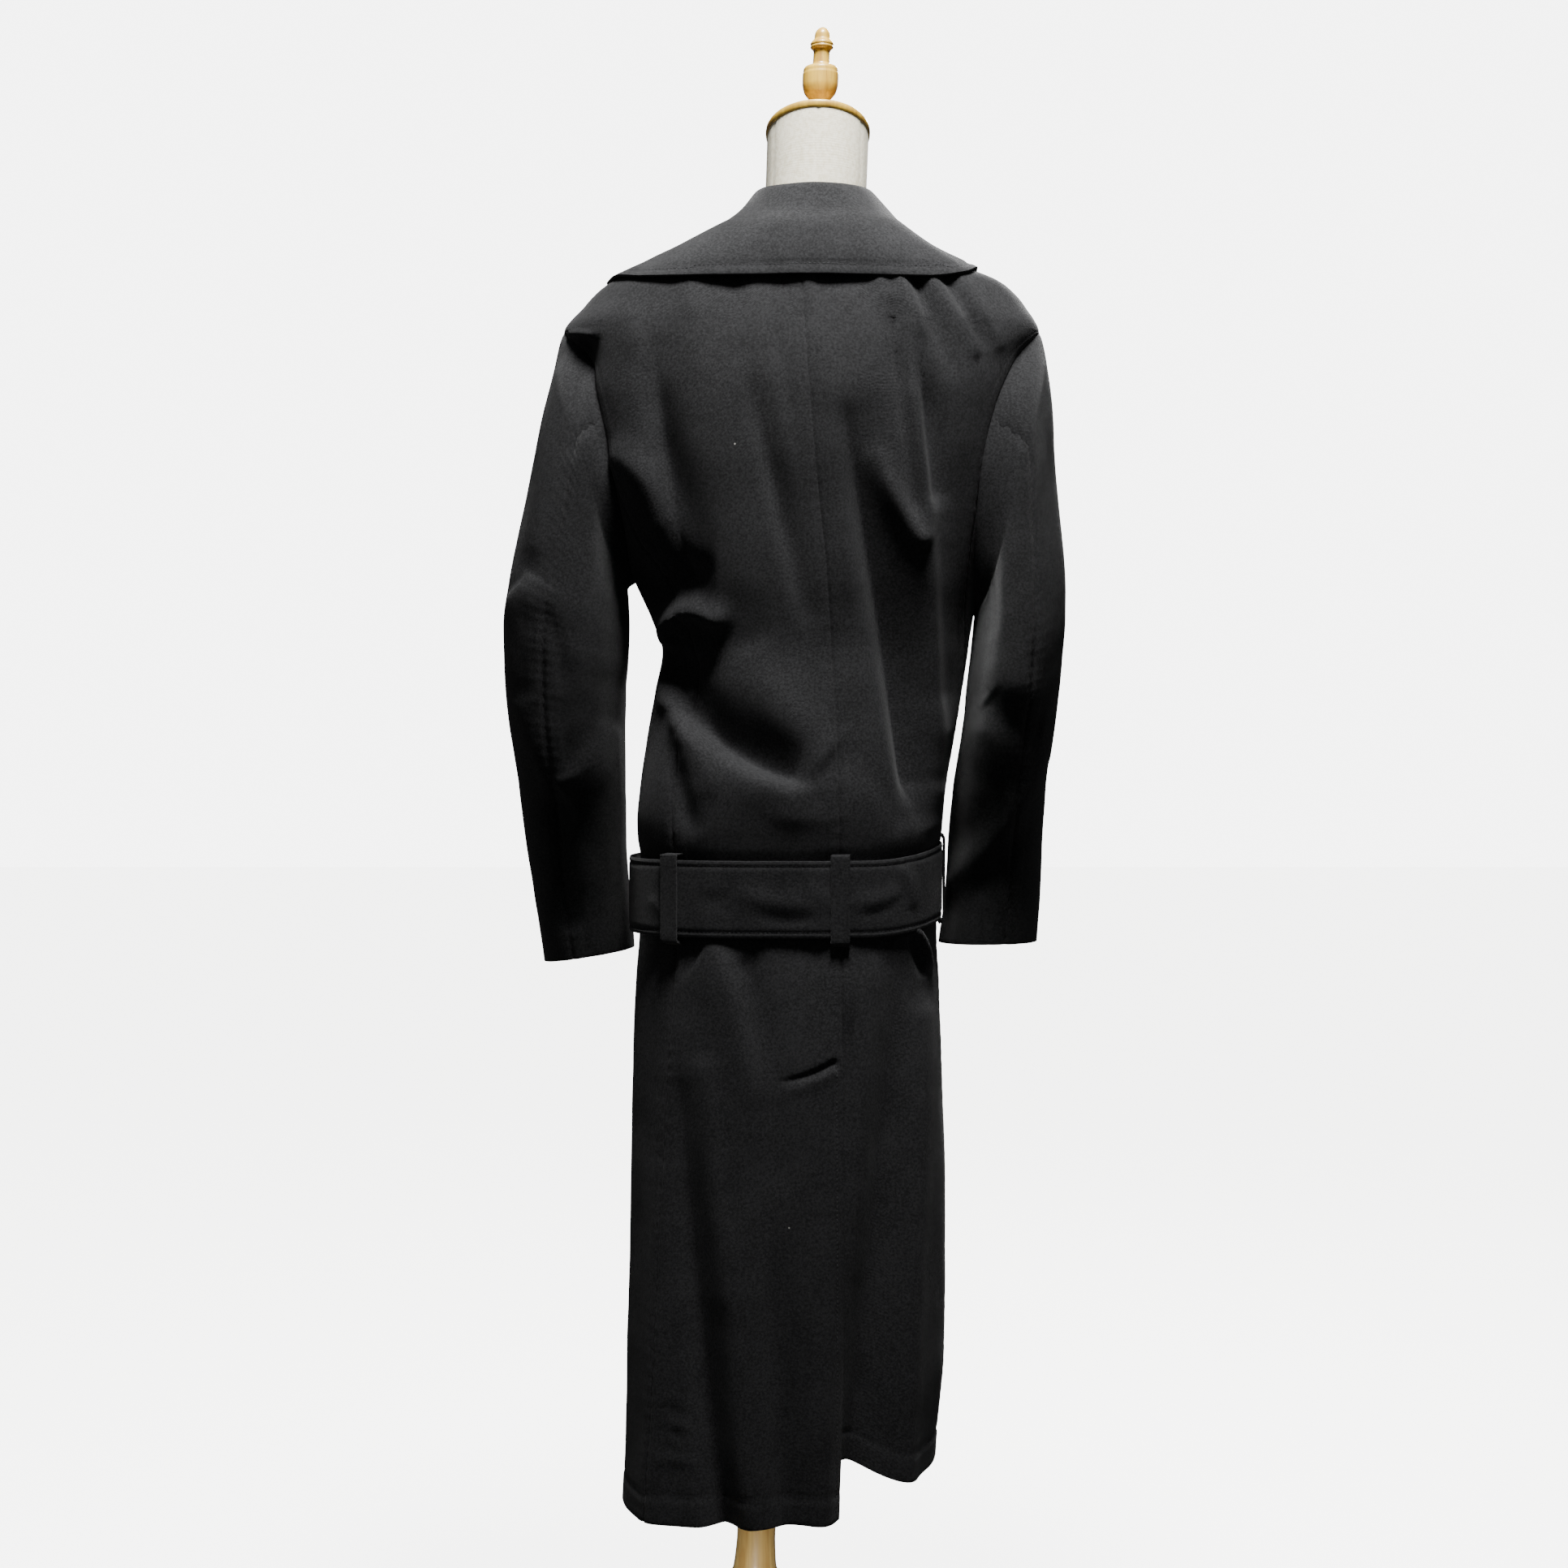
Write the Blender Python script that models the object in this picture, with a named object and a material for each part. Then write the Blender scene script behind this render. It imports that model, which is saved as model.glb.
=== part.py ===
# Belted coat of black wool on a limbless linen dress form with a turned wooden stand.
# Metres, +Z up, origin on the floor under the middle. The coat's back faces +Y and its
# front -Y, and the wearer's left is +X. Every cloth piece is a closed wall, parted from
# its neighbours by a seam gap.

import itertools
import math

import bmesh
import bpy
import numpy as np

CLOTH = 0.002  # wall of the wool
SEAM_GAP = 0.0003  # between pieces that meet at a seam
HALF_GAP = SEAM_GAP / 2
NECK_SEAM_Z = 1.505
HEM_Z = 0.27
VENT_UNDERLAP = 0.040
VENT_UNDERLAP_Z = (-0.715, -0.640)  # heights, negated, over which the underlap widens
VENT_SINK_Z = (-0.765, -0.720)
VENT_SINK_SHARES = (-0.030, -0.002)  # from the centre back, where the sinking begins
VENT_DEPTH = 0.0034  # how far the underlap lies inside the upper vent edge
WRAP_LIFT = 0.0040  # how far the upper front stands over the lower one
WRAP_SHARES = (0.385, 0.445)  # where that lift begins and is whole
BELT_WIDTH = 0.073
BELT_TAIL = 0.15
BELT_Z = 0.853
BELT_RISE = 0.014  # how much higher it sits at the right side
BELT_SECTION = (0.1500, -0.1535, 0.1130, -0.1160, 2.5)  # columns as in BODY
BELT_START = 0.515  # its under end, as a share of the girth
BELT_STEPS = 50
BELT_LAYER = CLOTH + 0.0010  # how far its tail lies over its start
BELT_OVER = (0.93, 0.97)  # share of its way round over which the tail rises
BAR_LIFT = 0.0028  # how far the tail rises over the buckle's bar
BAR_LIFT_SPAN = (0.022, 0.060)
BUCKLE_SHARE = 0.490
BUCKLE_STEPS = (-0.031, -0.023, -0.006, -0.003, 0.003, 0.006, 0.023, 0.031)
BUCKLE_OUTS = (0.0028, 0.0050, 0.0084, 0.0120)
BUCKLE_CLEAR = 0.002
BUCKLE_RIM = 0.009
LOOP_WIDTH = 0.017
# Down a belt loop: height from the belt's middle, then distance off the belt or the coat
LOOP_PROFILE = (
    (0.0435, None, 0.0026),
    (0.0413, 0.0029, None),
    (0.0395, 0.0048, None),
    (0.0183, 0.0048, None),
    (-0.0183, 0.0048, None),
    (-0.0395, 0.0048, None),
    (-0.0415, 0.0029, None),
    (-0.0445, None, 0.0026),
)
NORMAL_STEP_F = 0.0015
NORMAL_STEP_Z = 0.0015

# Level sections through the coat: reach to +X, -X, +Y (back) and -Y (front)
BODY_COLUMNS = ("z", "left", "right", "back", "front", "square")
BODY = (
    (0.240, 0.160, -0.147, 0.150, -0.143, 2.2),
    (0.300, 0.158, -0.149, 0.148, -0.141, 2.2),
    (0.400, 0.155, -0.157, 0.143, -0.136, 2.2),
    (0.500, 0.153, -0.159, 0.138, -0.131, 2.2),
    (0.600, 0.151, -0.158, 0.132, -0.125, 2.2),
    (0.700, 0.148, -0.155, 0.124, -0.119, 2.3),
    (0.770, 0.145, -0.152, 0.116, -0.114, 2.4),
    (0.812, 0.142, -0.150, 0.110, -0.110, 2.5),
    (0.888, 0.141, -0.150, 0.110, -0.108, 2.5),
    (0.896, 0.142, -0.151, 0.113, -0.109, 2.5),
    (0.906, 0.144, -0.154, 0.121, -0.112, 2.5),
    (0.925, 0.145, -0.156, 0.1245, -0.115, 2.5),
    (0.950, 0.143, -0.158, 0.121, -0.115, 2.5),
    (1.000, 0.136, -0.166, 0.110, -0.111, 2.5),
    (1.050, 0.126, -0.174, 0.104, -0.110, 2.5),
    (1.090, 0.118, -0.180, 0.101, -0.112, 2.5),
    (1.120, 0.128, -0.185, 0.104, -0.117, 2.5),
    (1.160, 0.146, -0.193, 0.109, -0.123, 2.6),
    (1.220, 0.170, -0.205, 0.113, -0.129, 2.7),
    (1.280, 0.188, -0.214, 0.118, -0.133, 2.7),
    (1.330, 0.198, -0.224, 0.119, -0.129, 2.6),
    (1.370, 0.204, -0.236, 0.116, -0.120, 2.4),
    (1.400, 0.2152, -0.2500, 0.110, -0.110, 2.2),
    (1.424, 0.197, -0.237, 0.104, -0.102, 2.2),
    (1.446, 0.174, -0.217, 0.097, -0.094, 2.2),
    (1.458, 0.141, -0.188, 0.090, -0.087, 2.2),
    (1.468, 0.112, -0.160, 0.084, -0.081, 2.2),
    (1.480, 0.080, -0.131, 0.077, -0.074, 2.2),
    (1.492, 0.051, -0.107, 0.069, -0.065, 2.1),
    (1.505, 0.030, -0.090, 0.060, -0.055, 2.0),
    (1.520, 0.025, -0.084, 0.058, -0.052, 2.0),
    (1.560, 0.022, -0.080, 0.057, -0.050, 2.0),
)

# The seam at the centre back, which twists round the form below the shoulders
CENTRE_BACK_COLUMNS = ("z", "x")
CENTRE_BACK = (
    (0.24, -0.0570),
    (0.60, -0.0550),
    (0.85, -0.0532),
    (1.00, -0.0500),
    (1.09, -0.0450),
    (1.16, -0.0405),
    (1.24, -0.0320),
    (1.30, -0.0265),
    (1.38, -0.0205),
    (1.44, -0.0170),
    (1.505, -0.0300),
    (1.56, -0.0300),
)

# Where the other seams run, as a share of the girth from the centre of the back
SEAM_COLUMNS = ("z", "back_left", "back_right", "front_left", "front_right")
SEAMS = (
    (0.24, 0.140, -0.250, 0.315, -0.340),
    (0.60, 0.140, -0.245, 0.315, -0.335),
    (0.85, 0.130, -0.243, 0.315, -0.330),
    (1.00, 0.140, -0.240, 0.315, -0.325),
    (1.10, 0.152, -0.214, 0.315, -0.318),
    (1.15, 0.165, -0.196, 0.315, -0.316),
    (1.20, 0.173, -0.184, 0.315, -0.315),
    (1.275, 0.180, -0.180, 0.315, -0.315),
    (1.56, 0.180, -0.180, 0.315, -0.315),
)

# Height of the hem round the coat, which hangs lower at the left of the vent
HEM_COLUMNS = ("share", "z")
RIGHT_HEM = (
    (-0.56, 0.275),
    (-0.50, 0.275),
    (-0.35, 0.288),
    (-0.25, 0.297),
    (-0.13, 0.303),
    (-0.07, 0.326),
    (-0.02, 0.330),
)
LEFT_HEM = (
    (-0.07, 0.272),
    (0.04, 0.269),
    (0.14, 0.262),
    (0.25, 0.256),
    (0.35, 0.266),
    (0.50, 0.275),
    (0.56, 0.275),
)

BACK_COLUMNS = 8
FRONT_COLUMNS = 7
# Heights of the panels' rows, and steps from the armholes' tips to the neck seam
LOW_ROWS = (
    0.335, 0.39, 0.45, 0.51, 0.57, 0.63, 0.685, 0.715, 0.765, 0.812, 0.85, 0.886, 0.896,
    0.906, 0.925, 0.95, 0.98, 1.01, 1.04, 1.07, 1.095,
)
ARM_ROWS = (1.12, 1.145, 1.17, 1.205, 1.24, 1.275)
SHOULDER_STEPS = (0.22, 0.42, 0.55, 0.70, 0.85, 1.0)

# Each armhole is a closed curve on the body, from its tip round the back to its foot
ARMHOLES = {
    "left": dict(side=1, tip_z=1.400, join_z=1.275, foot_z=1.160, back=0.070, front=0.065),
    "right": dict(side=-1, tip_z=1.400, join_z=1.275, foot_z=1.132, back=0.070, front=0.065),
}
ARC_ANGLES = (75, 60, 45, 30, 15, 0)
UNDERARM_ANGLES = (90, 112.5, 135, 157.5, 180, 202.5, 225, 247.5, 270)
ARMHOLE_ANGLES = (0, 15, 30, 45, 60, 75, 90, 112.5, 135, 157.5, 180)
BACK_SLEEVE_SEAM = 75.0
FRONT_SLEEVE_SEAM = 247.5

# Front neck edge, collar roll and collar edge, from the centre back to the break of the
# front. The last four columns say how far the fall stands off the coat across its width.
COLLAR_COLUMNS = ("share", "z", "stand", "edge_share", "edge_z", "crown", "upper", "lower", "edge")
COLLAR = (
    (0.000, 1.505, 0.030, 0.000, 1.438, 0.0170, 0.0200, 0.0185, 0.0215),
    (0.060, 1.505, 0.030, 0.058, 1.438, 0.0175, 0.0200, 0.0185, 0.0210),
    (0.115, 1.505, 0.031, 0.110, 1.438, 0.0180, 0.0190, 0.0165, 0.0185),
    (0.165, 1.505, 0.032, 0.160, 1.441, 0.0190, 0.0160, 0.0125, 0.0130),
    (0.210, 1.505, 0.032, 0.205, 1.446, 0.0200, 0.0130, 0.0095, 0.0085),
    (0.262, 1.505, 0.030, 0.255, 1.447, 0.0200, 0.0120, 0.0095, 0.0080),
    (0.298, 1.500, 0.025, 0.281, 1.4445, 0.0175, 0.0120, 0.0100, 0.0085),
    (0.340, 1.482, 0.019, 0.308, 1.434, 0.0140, 0.0115, 0.0105, 0.0090),
    (0.384, 1.446, 0.013, 0.333, 1.403, 0.0110, 0.0105, 0.0100, 0.0085),
    (0.415, 1.385, 0.009, 0.351, 1.345, 0.0095, 0.0090, 0.0085, 0.0075),
    (0.442, 1.295, 0.006, 0.370, 1.262, 0.0090, 0.0085, 0.0070, 0.0060),
    (0.463, 1.200, 0.005, 0.400, 1.172, 0.0085, 0.0080, 0.0070, 0.0055),
    (0.481, 1.110, 0.004, 0.440, 1.090, 0.0080, 0.0075, 0.0065, 0.0055),
    (0.491, 1.040, 0.003, 0.478, 1.026, 0.0070, 0.0070, 0.0060, 0.0055),
)
# Up the stand and over the roll: share of the stand's height, and distance off the coat
COLLAR_STAND = ((0.0, 0.0), (0.5, 0.0003), (0.9, 0.0012), (1.0, 0.0045), (0.88, 0.0090))
COLLAR_TOP_OUT = 0.0130
FALL_STEPS = (0.12, 0.34, 0.56, 0.78, 1.0)
FALL_MARKS = np.array([0.0, 0.10, 0.40, 0.72, 1.0])  # where the last columns apply
COLLAR_PAST = 0.004  # how far the collar laps past the front's edge, below the neck
COLLAR_STATIONS = (12, 15, 12)  # left front, neck, right front
COLLAR_TURN = 0.262  # share at which the neck seam leaves the level and turns down
COLLAR_RIGHT_LIFT = 0.011  # the right shoulder, and the collar on it, sit higher

# The front edge below the break of the collar, where the fronts wrap
WRAP_COLUMNS = ("z", "under", "over")
WRAP = (
    (0.24, 0.540, 0.560),
    (0.89, 0.540, 0.560),
    (0.94, 0.522, 0.545),
    (1.00, 0.497, 0.503),
)

# Sleeve rings: the point of each on the outer side and on the body side, the middle of
# the ring front to back, and its half depth
SLEEVE_COLUMNS = ("outer_x", "outer_z", "inner_x", "inner_z", "middle_y", "half_depth")
SLEEVES = {
    "left": (
        (0.2253, 1.3648, 0.1535, 1.1499, -0.003, 0.080),
        (0.2357, 1.3167, 0.1530, 1.1410, -0.002, 0.078),
        (0.2488, 1.2520, 0.1525, 1.1300, 0.000, 0.075),
        (0.2602, 1.2036, 0.1520, 1.1160, 0.003, 0.071),
        (0.2695, 1.1555, 0.1525, 1.0980, 0.005, 0.068),
        (0.2750, 1.1156, 0.1540, 1.0780, 0.005, 0.065),
        (0.2747, 1.0759, 0.1570, 1.0500, 0.002, 0.062),
        (0.2717, 1.0280, 0.1575, 1.0150, -0.005, 0.059),
        (0.2664, 0.9838, 0.1565, 0.9790, -0.015, 0.057),
        (0.2615, 0.9391, 0.1560, 0.9391, -0.028, 0.055),
        (0.2561, 0.8815, 0.1580, 0.8870, -0.044, 0.053),
        (0.2510, 0.8316, 0.1560, 0.8400, -0.057, 0.051),
        (0.2438, 0.7789, 0.1520, 0.7930, -0.066, 0.050),
    ),
    "right": (
        (-0.2568, 1.3728, -0.1880, 1.1226, -0.003, 0.080),
        (-0.2620, 1.3327, -0.1870, 1.1170, -0.002, 0.078),
        (-0.2656, 1.2840, -0.1862, 1.1090, 0.000, 0.075),
        (-0.2698, 1.2355, -0.1850, 1.0990, 0.003, 0.071),
        (-0.2734, 1.1794, -0.1835, 1.0850, 0.005, 0.068),
        (-0.2750, 1.1236, -0.1815, 1.0680, 0.005, 0.065),
        (-0.2723, 1.0759, -0.1790, 1.0450, 0.002, 0.062),
        (-0.2693, 1.0360, -0.1765, 1.0180, -0.005, 0.059),
        (-0.2656, 0.9959, -0.1730, 0.9900, -0.015, 0.057),
        (-0.2615, 0.9553, -0.1690, 0.9580, -0.028, 0.055),
        (-0.2602, 0.9060, -0.1660, 0.9120, -0.044, 0.053),
        (-0.2584, 0.8521, -0.1630, 0.8560, -0.057, 0.051),
        (-0.2553, 0.7995, -0.1570, 0.7980, -0.066, 0.050),
    ),
}
SLEEVE_STEPS = 21
SLEEVE_HALF_GAP = 0.0002
SLEEVE_INSET = 0.0007  # how far inside the armhole's edge a sleeve starts
SLEEVE_START_OUT = 0.0010  # and how far outside the side panel, under the arm
SLEEVE_SQUARE = 2.2

# The largest folds, each along a curve through three points in the X-Z plane, with its
# half width and its height at both ends: raised where positive, sunk where negative
FOLD_COLUMNS = ("x0", "z0", "x1", "z1", "x2", "z2", "half_width", "start", "end")
BACK_FOLDS = {
    "left_back_valley": (0.123, 1.362, 0.095, 1.245, 0.062, 1.111, 0.015, -0.0054, -0.0189),
    "left_back_ridge": (0.152, 1.370, 0.115, 1.250, 0.083, 1.125, 0.015, 0.0041, 0.0108),
    "waist_curl": (0.116, 1.098, 0.096, 1.116, 0.066, 1.108, 0.010, 0.0081, 0.0108),
    "waist_pocket": (0.104, 1.090, 0.062, 1.032, -0.012, 0.978, 0.017, -0.0162, -0.0081),
    "waist_bulge": (0.118, 1.056, 0.086, 0.988, 0.018, 0.948, 0.022, 0.0108, 0.0068),
    "middle_valley": (0.031, 1.335, 0.005, 1.210, -0.014, 1.090, 0.015, -0.0054, -0.0041),
    "shoulder_valley": (-0.098, 1.435, -0.112, 1.350, -0.109, 1.240, 0.010, -0.0054, -0.0081),
    "side_valley": (-0.132, 1.372, -0.142, 1.300, -0.154, 1.150, 0.012, -0.0108, -0.0108),
    "side_ridge": (-0.118, 1.362, -0.130, 1.200, -0.138, 0.920, 0.013, 0.0068, 0.0081),
    "collar_pull_inner": (-0.128, 1.440, -0.152, 1.415, -0.180, 1.388, 0.008, 0.0054, 0.0027),
    "collar_pull_outer": (-0.163, 1.440, -0.184, 1.412, -0.205, 1.380, 0.008, 0.0054, 0.0027),
    "skirt_left_ridge": (0.058, 0.787, 0.043, 0.735, 0.031, 0.670, 0.018, 0.0081, 0.0041),
    "skirt_left_valley": (0.086, 0.600, 0.084, 0.450, 0.083, 0.250, 0.019, -0.0041, -0.0351),
    "skirt_left_side": (0.122, 0.560, 0.124, 0.420, 0.126, 0.250, 0.018, 0.0027, 0.0081),
    "skirt_middle_valley": (0.016, 0.630, 0.009, 0.500, 0.001, 0.300, 0.020, -0.0041, -0.0081),
    "skirt_right_valley": (-0.124, 0.800, -0.113, 0.700, -0.098, 0.250, 0.014, -0.0121, -0.0189),
    "skirt_right_ridge": (-0.134, 0.785, -0.128, 0.650, -0.132, 0.300, 0.013, 0.0054, 0.0095),
    "left_elbow_ridge": (0.258, 1.130, 0.228, 1.060, 0.226, 0.985, 0.018, 0.0068, 0.0081),
    "left_elbow_valley": (0.166, 1.020, 0.195, 0.965, 0.236, 0.940, 0.015, -0.0081, -0.0121),
    "left_cap_valley": (0.196, 1.385, 0.194, 1.345, 0.190, 1.300, 0.008, -0.0081, -0.0041),
    "right_elbow_ridge": (-0.248, 1.045, -0.218, 0.970, -0.172, 0.900, 0.018, 0.0068, 0.0068),
    "right_elbow_valley": (-0.254, 1.000, -0.215, 0.925, -0.160, 0.845, 0.015, -0.0108, -0.0081),
    "right_arm_valley": (-0.208, 1.135, -0.214, 1.070, -0.250, 1.027, 0.014, -0.0068, -0.0081),
}
FRONT_FOLDS = {
    "left_front_drop": (0.120, 1.080, 0.108, 1.000, 0.100, 0.920, 0.015, -0.0068, -0.0108),
    "left_front_ridge": (0.150, 1.180, 0.090, 1.060, 0.060, 0.930, 0.017, 0.0054, 0.0081),
    "right_front_drop": (-0.140, 1.120, -0.120, 1.020, -0.100, 0.920, 0.015, -0.0081, -0.0108),
    "right_front_ridge": (-0.165, 1.200, -0.110, 1.060, -0.070, 0.930, 0.017, 0.0054, 0.0081),
    "skirt_front_left": (0.085, 0.780, 0.092, 0.550, 0.100, 0.260, 0.020, -0.0054, -0.0162),
    "skirt_front_right": (-0.095, 0.780, -0.100, 0.550, -0.105, 0.260, 0.020, -0.0054, -0.0162),
    "left_sleeve_bend": (0.164, 1.000, 0.205, 0.980, 0.255, 1.010, 0.014, -0.0108, -0.0068),
    "right_sleeve_bend": (-0.180, 1.010, -0.215, 0.985, -0.262, 1.010, 0.014, -0.0108, -0.0068),
}
FOLD_FADE = 0.12  # share of a fold's length over which each end dies away
FOLD_FACING = (0.05, 0.45)  # a fold dies away where the cloth turns to the side

# Sections through the padded form
FORM_COLUMNS = ("z", "left", "right", "back", "front", "square")
FORM = (
    (0.760, 0.080, -0.078, 0.060, -0.058, 2.2),
    (0.764, 0.100, -0.100, 0.076, -0.073, 2.2),
    (0.776, 0.119, -0.122, 0.090, -0.086, 2.2),
    (0.800, 0.128, -0.134, 0.096, -0.091, 2.2),
    (0.850, 0.131, -0.139, 0.098, -0.093, 2.2),
    (0.930, 0.128, -0.141, 0.097, -0.088, 2.2),
    (1.010, 0.112, -0.131, 0.085, -0.084, 2.2),
    (1.090, 0.099, -0.121, 0.078, -0.086, 2.2),
    (1.200, 0.124, -0.158, 0.093, -0.112, 2.3),
    (1.300, 0.134, -0.172, 0.101, -0.112, 2.4),
    (1.370, 0.152, -0.197, 0.098, -0.098, 2.4),
    (1.415, 0.155, -0.200, 0.090, -0.086, 2.3),
    (1.440, 0.145, -0.189, 0.085, -0.078, 2.2),
    (1.456, 0.120, -0.166, 0.082, -0.0735, 2.2),
)
FORM_REST_Z = 1.466  # from here to the neck the form follows the coat's inner side
FORM_REST_GAP = 0.0012
FORM_REST_ROWS = (FORM_REST_Z, 1.474, 1.483, 1.491)
FORM_CHEST_IN = 0.0085  # how much further in it lies at the front, where the coat is open
NECK_COLUMNS = ("z", "left", "right", "back", "front", "square")
NECK = (
    (1.502, 0.0240, -0.0840, 0.0540, -0.0490, 2.0),
    (1.520, 0.0195, -0.0800, 0.0530, -0.0480, 2.0),
    (1.545, 0.0180, -0.0810, 0.0520, -0.0480, 2.0),
    (1.592, 0.0165, -0.0828, 0.0510, -0.0490, 2.0),
)
NECK_TILT = math.radians(18)
NECK_TOP_Z = 1.592
NECK_ROWS = (1.502, 1.510, 1.520, 1.545, 1.570, NECK_TOP_Z)
NECK_LEVEL_Z = 1.535  # below this the neck's sections are level
FORM_SIDES = 24
FORM_ROWS = (
    0.760, 0.764, 0.776, 0.800, 0.850, 0.930, 1.010, 1.090, 1.145, 1.200, 1.250, 1.300,
    1.337, 1.370, 1.395, 1.415, 1.440, 1.456,
)
# Height over the neck's top and size of each ring of the cap
CAP_RINGS = ((0.0003, 1.0), (0.0010, 1.02), (0.0065, 1.02), (0.0080, 0.97), (0.0092, 0.60))

# The stand leans a little towards -X as it rises
LEAN_FOOT_X = 0.037
LEAN = -0.0441

FINIAL_COLUMNS = ("z", "radius")
FINIAL = (
    (1.6010, 0.0120),
    (1.6080, 0.0120),
    (1.6110, 0.0092),
    (1.6265, 0.0090),
    (1.6290, 0.0110),
    (1.6350, 0.0155),
    (1.6430, 0.0174),
    (1.6520, 0.0176),
    (1.6580, 0.0168),
    (1.6600, 0.0150),
    (1.6612, 0.0100),
    (1.6640, 0.0082),
    (1.6740, 0.0080),
    (1.6770, 0.0092),
    (1.6790, 0.0112),
    (1.6825, 0.0113),
    (1.6850, 0.0098),
    (1.6875, 0.0078),
    (1.6920, 0.0074),
    (1.6965, 0.0050),
    (1.6985, 0.0020),
)
POLE_COLUMNS = ("z", "radius")
POLE = (
    (0.1703, 0.0230),
    (0.1800, 0.0230),
    (0.1900, 0.0205),
    (0.2150, 0.0190),
    (0.7597, 0.0190),
)
HUB_HALF = 0.031
HUB_LOW_Z = 0.075
HUB_TOP_Z = 0.170
LEG_WIDTH = 0.028
LEG_REACH = 0.245
LEG_COUNT = 4
# Side view of a leg, as its distance from the hub's middle and its height
LEG_TOP = ((0.0313, 0.156), (0.105, 0.170), (0.165, 0.130), (0.190, 0.020), (0.245, 0.014))
LEG_UNDER = ((0.200, 0.0), (0.165, 0.016), (0.145, 0.085), (0.095, 0.112), (0.0313, 0.096))
ROUND_SIDES = 20


def clear_scene():
    for thing in list(bpy.data.objects):
        bpy.data.objects.remove(thing, do_unlink=True)


def make_material(name, colour, roughness, sheen=0.0):
    material = bpy.data.materials.new(name)
    material.use_nodes = True
    shader = material.node_tree.nodes["Principled BSDF"]
    shader.inputs["Base Color"].default_value = (*colour, 1.0)
    shader.inputs["Roughness"].default_value = roughness
    shader.inputs["Metallic"].default_value = 0.0
    shader.inputs["Sheen Weight"].default_value = sheen
    return material


def columns(table, names, key):
    return np.array([row[names.index(key)] for row in table], float)


def smooth_read(x, xs, ys):
    """A value read from a table along a curve that never overshoots the table's rows."""
    x = min(max(x, xs[0]), xs[-1])
    i = min(int(np.searchsorted(xs, x, side="right")) - 1, len(xs) - 2)
    slopes = np.diff(ys) / np.diff(xs)

    def tangent(k):
        if k == 0:
            return slopes[0]
        if k == len(xs) - 1:
            return slopes[-1]
        if slopes[k - 1] * slopes[k] <= 0:
            return 0.0
        return 2 * slopes[k - 1] * slopes[k] / (slopes[k - 1] + slopes[k])

    h = xs[i + 1] - xs[i]
    t = (x - xs[i]) / h
    return (
        (2 * t**3 - 3 * t**2 + 1) * ys[i]
        + (t**3 - 2 * t**2 + t) * h * tangent(i)
        + (-2 * t**3 + 3 * t**2) * ys[i + 1]
        + (t**3 - t**2) * h * tangent(i + 1)
    )


def reader(table, names, x_name, y_name):
    xs = columns(table, names, x_name)
    ys = columns(table, names, y_name)
    return lambda x: smooth_read(x, xs, ys)


def section_reader(table, names):
    reads = [reader(table, names, "z", key) for key in names[1:]]
    return lambda z: [read(z) for read in reads]


def smoothstep(low, high, x):
    t = min(max((x - low) / (high - low), 0.0), 1.0)
    return t * t * (3 - 2 * t)


QUARTER = np.linspace(0.0, math.pi / 2, 49)


def quarter_angle(share, across, along, square):
    """The angle from the +Y or -Y axis at a share of the way round a quarter section."""
    reach = (
        np.abs(np.sin(QUARTER) / across) ** square + np.abs(np.cos(QUARTER) / along) ** square
    ) ** (-1 / square)
    steps = np.hypot(np.diff(reach * np.sin(QUARTER)), np.diff(reach * np.cos(QUARTER)))
    length = np.concatenate([[0.0], np.cumsum(steps)])
    return float(np.interp(share * length[-1], length, QUARTER)), length[-1]


def girth_point(section, share, z):
    """The point of a level section at a share of its girth, from the middle of the back
    (0) by the left side (0.25) to the middle of the front (0.5)."""
    left, right, back, front, square = section
    share = (share + 0.5) % 1.0 - 0.5
    side = 1 if share >= 0 else -1
    middle = (left + right) / 2
    across = (left - right) / 2
    quarter = abs(share) / 0.25
    if quarter <= 1:
        angle, _ = quarter_angle(quarter, across, back, square)
        facing, along = 1, back
    else:
        angle, _ = quarter_angle(2 - quarter, across, -front, square)
        facing, along = -1, -front
    reach = (
        abs(math.sin(angle) / across) ** square + abs(math.cos(angle) / along) ** square
    ) ** (-1 / square)
    return np.array(
        [middle + side * reach * math.sin(angle), facing * reach * math.cos(angle), z]
    )


read_body = section_reader(BODY, BODY_COLUMNS)
read_form = section_reader(FORM, FORM_COLUMNS)
read_neck = section_reader(NECK, NECK_COLUMNS)
read_centre_back = reader(CENTRE_BACK, CENTRE_BACK_COLUMNS, "z", "x")
read_hem = {
    "left": reader(LEFT_HEM, HEM_COLUMNS, "share", "z"),
    "right": reader(RIGHT_HEM, HEM_COLUMNS, "share", "z"),
}
read_seam = {
    key: reader(SEAMS, SEAM_COLUMNS, "z", key) for key in SEAM_COLUMNS[1:]
}
read_wrap = {key: reader(WRAP, WRAP_COLUMNS, "z", key) for key in WRAP_COLUMNS[1:]}


def girth(z):
    left, right, back, front, square = read_body(z)
    across = (left - right) / 2
    behind = quarter_angle(1, across, back, square)[1]
    ahead = quarter_angle(1, across, -front, square)[1]
    return 2 * (behind + ahead)


def unit(vector):
    return vector / np.linalg.norm(vector)


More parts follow.
